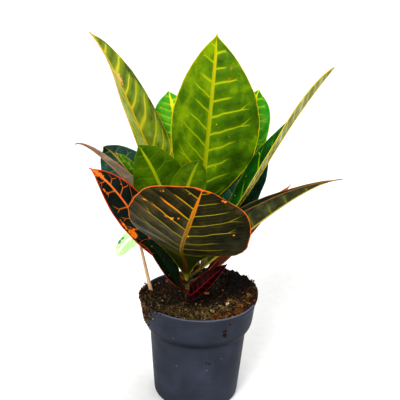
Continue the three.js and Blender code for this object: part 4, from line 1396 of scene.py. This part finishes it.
def peat_mix(name):
    """Moist peat, bark and coir: nearly black crumbs, tan fibre, dull all over."""
    material, tree, shader = new_material(name)
    place = add(tree, "TexCoord", out="Object")
    tint = numbers(tree, "tint")[0]
    grain = add(tree, "TexNoise", place, Scale=1 / (1.1 * MM), Detail=6.0, Roughness=0.7)
    stir = add(tree, "MapRange", grain, 0.3, 0.7, -0.16, 0.2)
    mixed = add(tree, "Math", tint, stir, operation="ADD")
    half = add(tree, "Math", mixed, 0.7, operation="MULTIPLY")
    hues = (
        (0.0, "#0e0a07"), (0.95, "#e4d4b4"), (0.15, "#20160c"), (0.3, "#362616"), (0.48, "#5c4826"),
        (0.66, "#988450"), (0.8, "#b8a474"),
    )
    colour = add(tree, "ValToRGB", half, ramp=hues)

    # Warmer bark lies in clumps at the front right, on the spill and behind, and painted shade darkens
    # the mix round the top of the heap
    side, front = add(tree, "SeparateXYZ", place, out=slice(2))
    right = add(tree, "Math", side, front, operation="SUBTRACT")
    zones = ((right, 45, 75, 0.6), (side, -42, -58, 0.35), (front, -30, -8, 0.25))
    bark = -0.1
    for way, near, far, most in zones:
        zone = add(tree, "MapRange", way, near * MM, far * MM, -0.1, most)
        bark = add(tree, "Math", bark, zone, operation="MAXIMUM")
    clump = add(tree, "TexNoise", place, Scale=1 / (12 * MM), Detail=3.0)
    bark = add(tree, "Math", bark, clump, operation="ADD")
    bark = add(tree, "MapRange", bark, 0.55, 0.85)
    away = add(tree, "VectorMath", place, [length * MM for length in HEAP_TOP], operation="DISTANCE")
    heap_shade = add(tree, "MapRange", away, 12 * MM, 28 * MM, 0.85, 0.0)
    for cover, hue in ((bark, "#ffc890"), (heap_shade, "#4c4038")):
        colour = add(tree, "Mix", cover, colour, hue, data_type="RGBA", blend_type="MULTIPLY")
    relief = add(tree, "Bump", Strength=0.8, Distance=0.6 * MM, Height=grain)
    put(tree, shader, {
        "Base Color": colour, "Roughness": 0.88, "Specular IOR Level": 0.25, "Normal": relief,
    })
    return material


# Radius and height in mm of the rings of the floor's edge, from the top down
FLOOR_SWEEP = [(18000, 3500), (17000, 1600), (15800, 500), (14000, 0)]


def make_floor():
    """A plain pale floor that sweeps up all round, far away."""
    floor = drawn_round("floor", FLOOR_SWEEP, 96, "NOTHING")
    bpy.ops.object.mode_set(mode="EDIT")
    bpy.ops.mesh.edge_face_add()
    bpy.ops.mesh.select_all(action="SELECT")
    bpy.ops.mesh.normals_make_consistent(inside=True)
    bpy.ops.object.mode_set(mode="OBJECT")
    dress(floor, paper("pale_paper"))


def paper(name):
    """Uncoated pale paper: matt, with a faint mottle of fibres a centimetre long, drawn coarse to show."""
    material, tree, shader = new_material(name)
    place = add(tree, "TexCoord", out="Object")
    fibre = add(tree, "TexNoise", place, Scale=90.0, Detail=4.0)
    colour = add(tree, "ValToRGB", fibre, ramp=((0.3, "#f2f2f1"), (0.7, "#f7f7f6")))
    put(tree, shader, {"Base Color": colour, "Roughness": 0.9, "Specular IOR Level": 0.1})
    return material


# Where the lamps aim and each one's name, kind and place, in metres, its spread in degrees for a sun or
# its size in metres, and its power
LAMP_AIM = (0, 0, 0.2)
LAMPS = [
    ("window", "SUN", (-0.45, -0.95, 0.95), 26, 2.1),
    ("ceiling", "SUN", (0.15, 0.2, 1.0), 50, 1.3),
    ("fill_lamp", "AREA", (1.1, -1.1, 0.6), 1.0, 5),
]
ROOM_STRENGTH = 0.42


def make_light():
    """Soft daylight from the front left and above, a weak lamp on the right, and a pale room."""
    for name, kind, place, size, power in LAMPS:
        data = bpy.data.lights.new(name, kind)
        data.energy = power
        if kind == "SUN":
            data.angle = math.radians(size)
        else:
            data.shape = "DISK"
            data.size = size
        lamp = in_scene(name, data)
        lamp.location = place
        aim = Vector(LAMP_AIM) - Vector(place)
        lamp.rotation_euler = aim.to_track_quat("-Z", "Y").to_euler()
    world = bpy.data.worlds.new("pale_room")
    bpy.context.scene.world = world
    world.use_nodes = True
    room = world.node_tree.nodes["Background"]
    put(world.node_tree, room, {"Color": "#fafafa", "Strength": ROOM_STRENGTH})


def make_camera():
    """The photograph's camera: it looks down on the plant, rolled a little to the left."""
    data = bpy.data.cameras.new("photo_camera")
    data.sensor_width = SENSOR_WIDTH
    data.lens = FOCAL_PIXELS / PHOTO_PIXELS * SENSOR_WIDTH
    data.clip_start = 0.01
    data.clip_end = 60
    camera = in_scene("photo_camera", data)
    pitch = Matrix.Rotation(math.radians(90 - CAMERA_PITCH), 4, "X")
    turn = pitch @ Matrix.Rotation(math.radians(CAMERA_ROLL), 4, "Z")
    back = turn @ Vector((0, 0, CAMERA_DISTANCE * MM))
    camera.matrix_world = Matrix.Translation(Vector(CAMERA_TARGET) * MM + back) @ turn
    bpy.context.scene.camera = camera


make_camera()
make_light()
make_floor()
make_pot()
make_soil()
make_stake()
for name, stem in STEMS.items():
    make_stem(name, stem)
for number, leaf in enumerate(LEAVES):
    make_leaf(leaf, number + 1)
bpy.context.scene.view_settings.view_transform = "Standard"
bpy.context.scene.view_settings.look = "Medium High Contrast"
